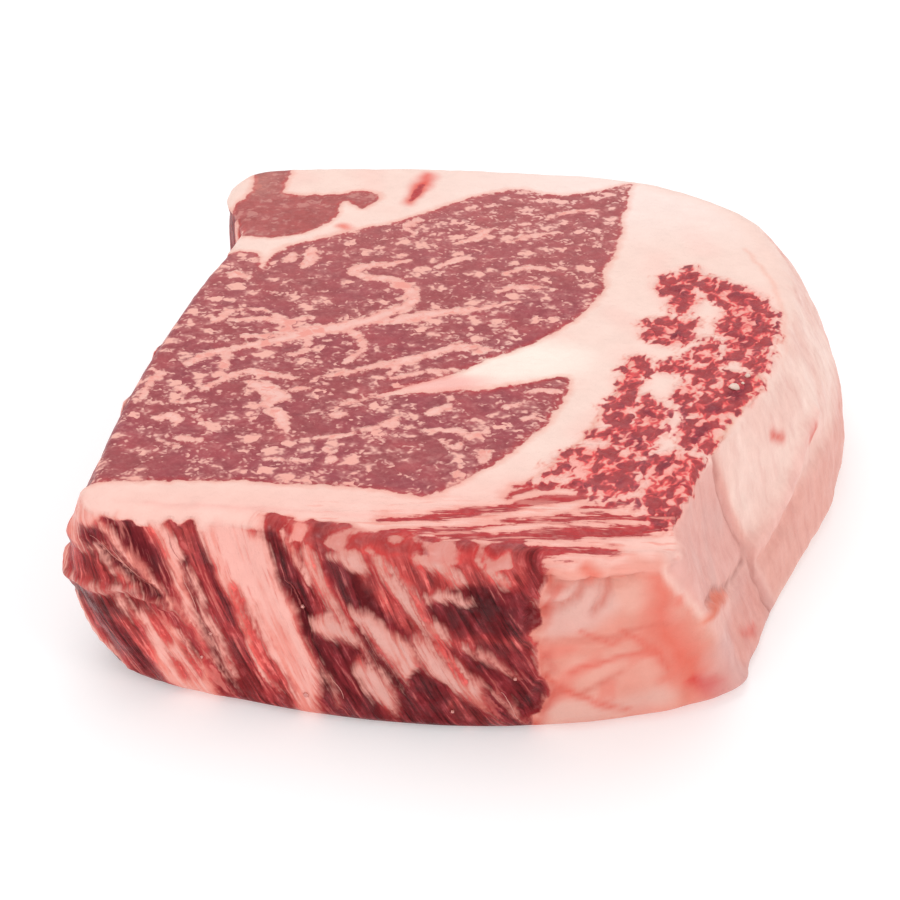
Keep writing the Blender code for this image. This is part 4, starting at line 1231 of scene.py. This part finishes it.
    # Fat: pinker by the lean, with faint mottling, and red threads on the wall.
    mottle = g.noise(place, 4.2, 3.0, 0.6)
    fat_colour = g.scale(fat_tint, 0.92 + mottle * 0.16)
    near_lean = g.step(edge, -1.9, -0.1)
    pink_share = near_lean * (0.30 + tone * 0.5) + g.step(wide_grain, 0.46, 0.66) * fibre * 0.6
    fat_colour = g.tinted(fat_colour, (0.92, 0.58, 0.53), g.clamp(pink_share))
    red_hairs = g.step(fine_grain + (crowd - 0.5) * 0.5, 0.56, 0.70) * fibre * 0.5
    fat_colour = g.tinted(fat_colour, (0.80, 0.36, 0.34), red_hairs)
    drawn = g.noise(g.times(place, (1.0, 1.0, 0.055)), 2.2, 2.0, 0.6)
    fat_colour = g.tinted(fat_colour, (0.84, 0.70, 0.70), g.step(drawn, 0.46, 0.72) * skin * 0.38)
    fat_colour = g.tinted(fat_colour, (1.10, 1.16, 1.16), g.step(drawn, 0.48, 0.28) * skin * 0.38)
    fat_colour = g.mix(fat_colour, g.times(fat_tint, (0.95, 0.66, 0.63)), fatty)
    colour = g.mix(fat_colour, lean_colour, share)

    height = tone * 0.4 + (fine_grain * 0.9 + wide_grain * 0.8) * fibre + long_grain * streaks * 0.5
    height = height + crumb * 0.35 - g.step(lean, -0.5, 0.6) * 0.25 + drawn * skin * 0.3
    height = height + strand * network * g.step(lean, -1.2, 0.2) * 1.4
    gloss = g.step(mottle, 0.44, 0.62) * wet
    roughness = 0.50 - share * 0.08 - gloss * 0.16 + (tone - 0.5) * 0.14
    g.give(Base_Color=colour, Roughness=roughness, Coat_Weight=gloss * 0.4)
    g.give(Normal=g.bump(height, 0.0005), IOR=1.33, Specular_IOR_Level=0.16)
    return g.give(Coat_Roughness=0.2, Coat_IOR=1.4)


def floor_finish():
    g = Graph("pale paper")
    g.give(Base_Color=(0.78, 0.78, 0.785, 1.0), Roughness=0.8)
    return g.give(Emission_Color=(1.0, 1.0, 1.0, 1.0), Emission_Strength=0.30)


def plain_finish(name, colour, roughness, coat):
    """The finish of a small thing: one colour, a little darker here and there."""
    g = Graph(name)
    tone = g.noise(g.place(), 0.8, 2.0)
    shaded = tuple(0.8 * part for part in colour)
    g.give(Base_Color=g.mix(shaded, colour, tone), Roughness=roughness)
    return g.give(Coat_Weight=coat, Coat_Roughness=0.05)


# ---- small things on the meat --------------------------------------------------------------------------


LUMP_TURNS, LUMP_TIERS, TUBE_SIDES = 10, 6, 6


def lump(points, faces, middle, size, seed):
    """Adds a small uneven ball to the lists."""
    first = len(points)
    turns, tiers = LUMP_TURNS, LUMP_TIERS
    for tier in range(tiers + 1):
        tilt = np.pi * tier / tiers
        for turn in range(turns):
            angle = 2 * np.pi * turn / turns
            spoke = np.array([np.sin(tilt) * np.cos(angle), np.sin(tilt) * np.sin(angle), np.cos(tilt)])
            rough = 1 + 0.45 * noise.noise((spoke * 1.4 + seed).tolist()) if 0 < tier < tiers else 1.0
            points.append((middle + spoke * size * rough).tolist())
    for tier in range(tiers):
        for turn in range(turns):
            then = (turn + 1) % turns
            low, high = first + tier * turns, first + (tier + 1) * turns
            faces.append((low + turn, high + turn, high + then, low + then))


def tube(points, faces, path, radius):
    """Adds a thin strand that follows the path and tapers to its ends."""
    first, sides = len(points), TUBE_SIDES
    for k, spot in enumerate(path):
        ahead = path[min(k + 1, len(path) - 1)] - path[max(k - 1, 0)]
        ahead = ahead / np.linalg.norm(ahead)
        side = np.cross(ahead, (0.3, 0.9, 0.2))
        side = side / np.linalg.norm(side)
        up = np.cross(ahead, side)
        wide = radius * (0.25 + 0.75 * np.sin(np.pi * (k + 0.5) / len(path)))
        for turn in range(sides):
            angle = 2 * np.pi * turn / sides
            points.append((spot + wide * (side * np.cos(angle) + up * np.sin(angle))).tolist())
    for k in range(len(path) - 1):
        for turn in range(sides):
            then = (turn + 1) % sides
            low, high = first + k * sides, first + (k + 1) * sides
            faces.append((low + turn, low + then, high + then, high + turn))
    faces.append(tuple(first + turn for turn in range(sides))[::-1])
    faces.append(tuple(first + (len(path) - 1) * sides + turn for turn in range(sides)))


def add_piece(name, points, faces, finish):
    """One piece that rides on the steak, from points in millimetres."""
    mesh = bpy.data.meshes.new(name)
    mesh.from_pydata((np.array(points) * MM).tolist(), [], faces)
    mesh.shade_smooth()
    mesh.materials.append(finish)
    piece = bpy.data.objects.new(name, mesh)
    bpy.context.scene.collection.objects.link(piece)
    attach(piece, "root")


class Surface:
    """Finds points of the finished steak, in millimetres, from places on its face or wall."""

    def __init__(self, body, placed, normals):
        self.placed, self.normals = placed / MM, normals
        self.face = body.points[: body.face_count, :2]
        last = body.face_count + body.wall_count
        self.first = body.face_count
        self.wall = np.column_stack([body.signed, body.points[self.first : last, 2]])

    def on_face(self, x, y):
        nearest = np.argmin(np.sum((self.face - (x, y)) ** 2, axis=1))
        return self.placed[nearest], self.normals[nearest]

    def on_wall(self, s, z):
        nearest = self.first + np.argmin(np.sum((self.wall - (s, z)) ** 2, axis=1))
        return self.placed[nearest], self.normals[nearest]


# Each crumb: where it lies on the upper face, and its three half sizes.
CRUMBS = (
    ((55.0, 50.8), (1.15, 0.85, 0.55)),
    ((58.0, 55.5), (0.55, 0.6, 0.4)),
    ((56.4, 52.6), (0.35, 0.3, 0.25)),
)
# Each bead: where it lies on the wall, and its radius.
BEADS = (
    (36.0, 5.5, 0.55), (18.6, 16.5, 0.36), (37.0, 24.5, 0.42), (75.0, 13.5, 0.36), (16.4, 11.5, 0.30),
    (63.0, 4.5, 0.36),
)
# Each strand: where it starts on the wall, and where it ends.
STRANDS = (
    (-1, 34, 6, 27), (1.5, 32.5, 8.5, 25.5), (12.5, 38, 14.8, 29), (14.5, 30, 16.8, 19), (41, 12, 43.5, 5),
    (72, 11, 75.5, 3),
)
STRAND_POINTS, STRAND_RISE, STRAND_SINK, STRAND_SWAY = 13, 0.2, 0.12, 0.25


def add_crumbs(surface):
    points, faces = [], []
    for k, ((x, y), size) in enumerate(CRUMBS):
        spot, up = surface.on_face(x, y)
        lump(points, faces, spot + up * size[2] * 0.6, np.array(size), 3.1 * k)
    add_piece("bone_crumbs", points, faces, plain_finish("bone crumb", (0.92, 0.68, 0.58), 0.6, 0.1))


def add_beads(surface):
    points, faces = [], []
    for k, (s, z, radius) in enumerate(BEADS):
        spot, out = surface.on_wall(s, z)
        lump(points, faces, spot + out * radius * 0.15, np.array([radius] * 3), 30.0 + 2.3 * k)
    add_piece("juice_beads", points, faces, plain_finish("meat juice", (0.72, 0.26, 0.22), 0.08, 1.0))


def add_strands(surface):
    """Thin strands whose ends are sunk in the wall and whose middles stand just off it."""
    points, faces = [], []
    for k, (s0, z0, s1, z1) in enumerate(STRANDS):
        path = []
        for share in np.linspace(0, 1, STRAND_POINTS):
            sway = STRAND_SWAY * np.sin(2.2 * np.pi * share + k)
            spot, out = surface.on_wall(s0 + (s1 - s0) * share + sway, z0 + (z1 - z0) * share)
            path.append(spot + out * (STRAND_RISE * np.sin(np.pi * share) - STRAND_SINK))
        rounded = np.array(path)
        rounded[1:-1] = (rounded[:-2] + 2 * rounded[1:-1] + rounded[2:]) / 4
        tube(points, faces, rounded, 0.085 + 0.02 * np.sin(3.0 * k))
    add_piece("torn_strands", points, faces, plain_finish("torn strand", (0.72, 0.27, 0.23), 0.45, 0.2))


# ---- the scene -----------------------------------------------------------------------------------------


FLOOR_HALF, FLOOR_DROP = 3.0, 0.0002
WORLD_STRENGTH = 0.70
# Each light: its name, place and aim in metres, its width in metres and its power in watts.
LIGHTS = (
    ("overhead", (-0.15, 0.35, 0.9), (0, 0, 0), 1.0, 3.2),
    ("front left", (-0.5, -0.8, 0.35), (0, 0, 0.02), 0.3, 1.6),
    ("front right", (0.8, -0.6, 0.5), (0, 0, 0.02), 0.5, 2.0),
)
# The camera's place, in the stations' own coordinates, and how far it looks down, in degrees.
CAMERA_PLACE, CAMERA_DOWN, CAMERA_LENS, CAMERA_SENSOR = (0.0, -277.01, 242.88), 33.5, 80.0, 36.0


def area_light(name, place, aim, size, power):
    light = bpy.data.lights.new(name, "AREA")
    light.shape, light.size, light.energy = "DISK", size, power
    lamp = bpy.data.objects.new(name, light)
    lamp.location = place
    lamp.rotation_euler = (Vector(aim) - Vector(place)).to_track_quat("-Z", "Y").to_euler()
    bpy.context.scene.collection.objects.link(lamp)


def make_floor():
    mesh = bpy.data.meshes.new("floor")
    half = FLOOR_HALF
    corners = [(-half, -half, 0), (half, -half, 0), (half, half, 0), (-half, half, 0)]
    mesh.from_pydata(corners, [], [(0, 1, 2, 3)])
    floor = bpy.data.objects.new("floor", mesh)
    floor.location.z = -FLOOR_DROP
    bpy.context.scene.collection.objects.link(floor)
    mesh.materials.append(floor_finish())


def make_lights():
    world = bpy.data.worlds.new("studio")
    world.use_nodes = True
    world.node_tree.nodes["Background"].inputs[0].default_value = (1.0, 1.0, 1.0, 1.0)
    world.node_tree.nodes["Background"].inputs[1].default_value = WORLD_STRENGTH
    bpy.context.scene.world = world
    for light in LIGHTS:
        area_light(*light)
    bpy.context.scene.view_settings.view_transform = "Standard"


def make_camera():
    camera = bpy.data.cameras.new("camera")
    camera.lens, camera.sensor_width = CAMERA_LENS, CAMERA_SENSOR
    camera.clip_start, camera.clip_end = 0.01, 20.0
    holder = bpy.data.objects.new("camera", camera)
    holder.location = (np.array(CAMERA_PLACE) - (*BOX_MIDDLE, 0)) * MM
    holder.rotation_euler = (np.radians(90.0 - CAMERA_DOWN), 0.0, 0.0)
    bpy.context.scene.collection.objects.link(holder)
    bpy.context.scene.camera = holder


steak, surface = make_steak()
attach(steak, "root")
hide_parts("steak")
add_crumbs(surface)
add_beads(surface)
add_strands(surface)
make_floor()
make_lights()
make_camera()
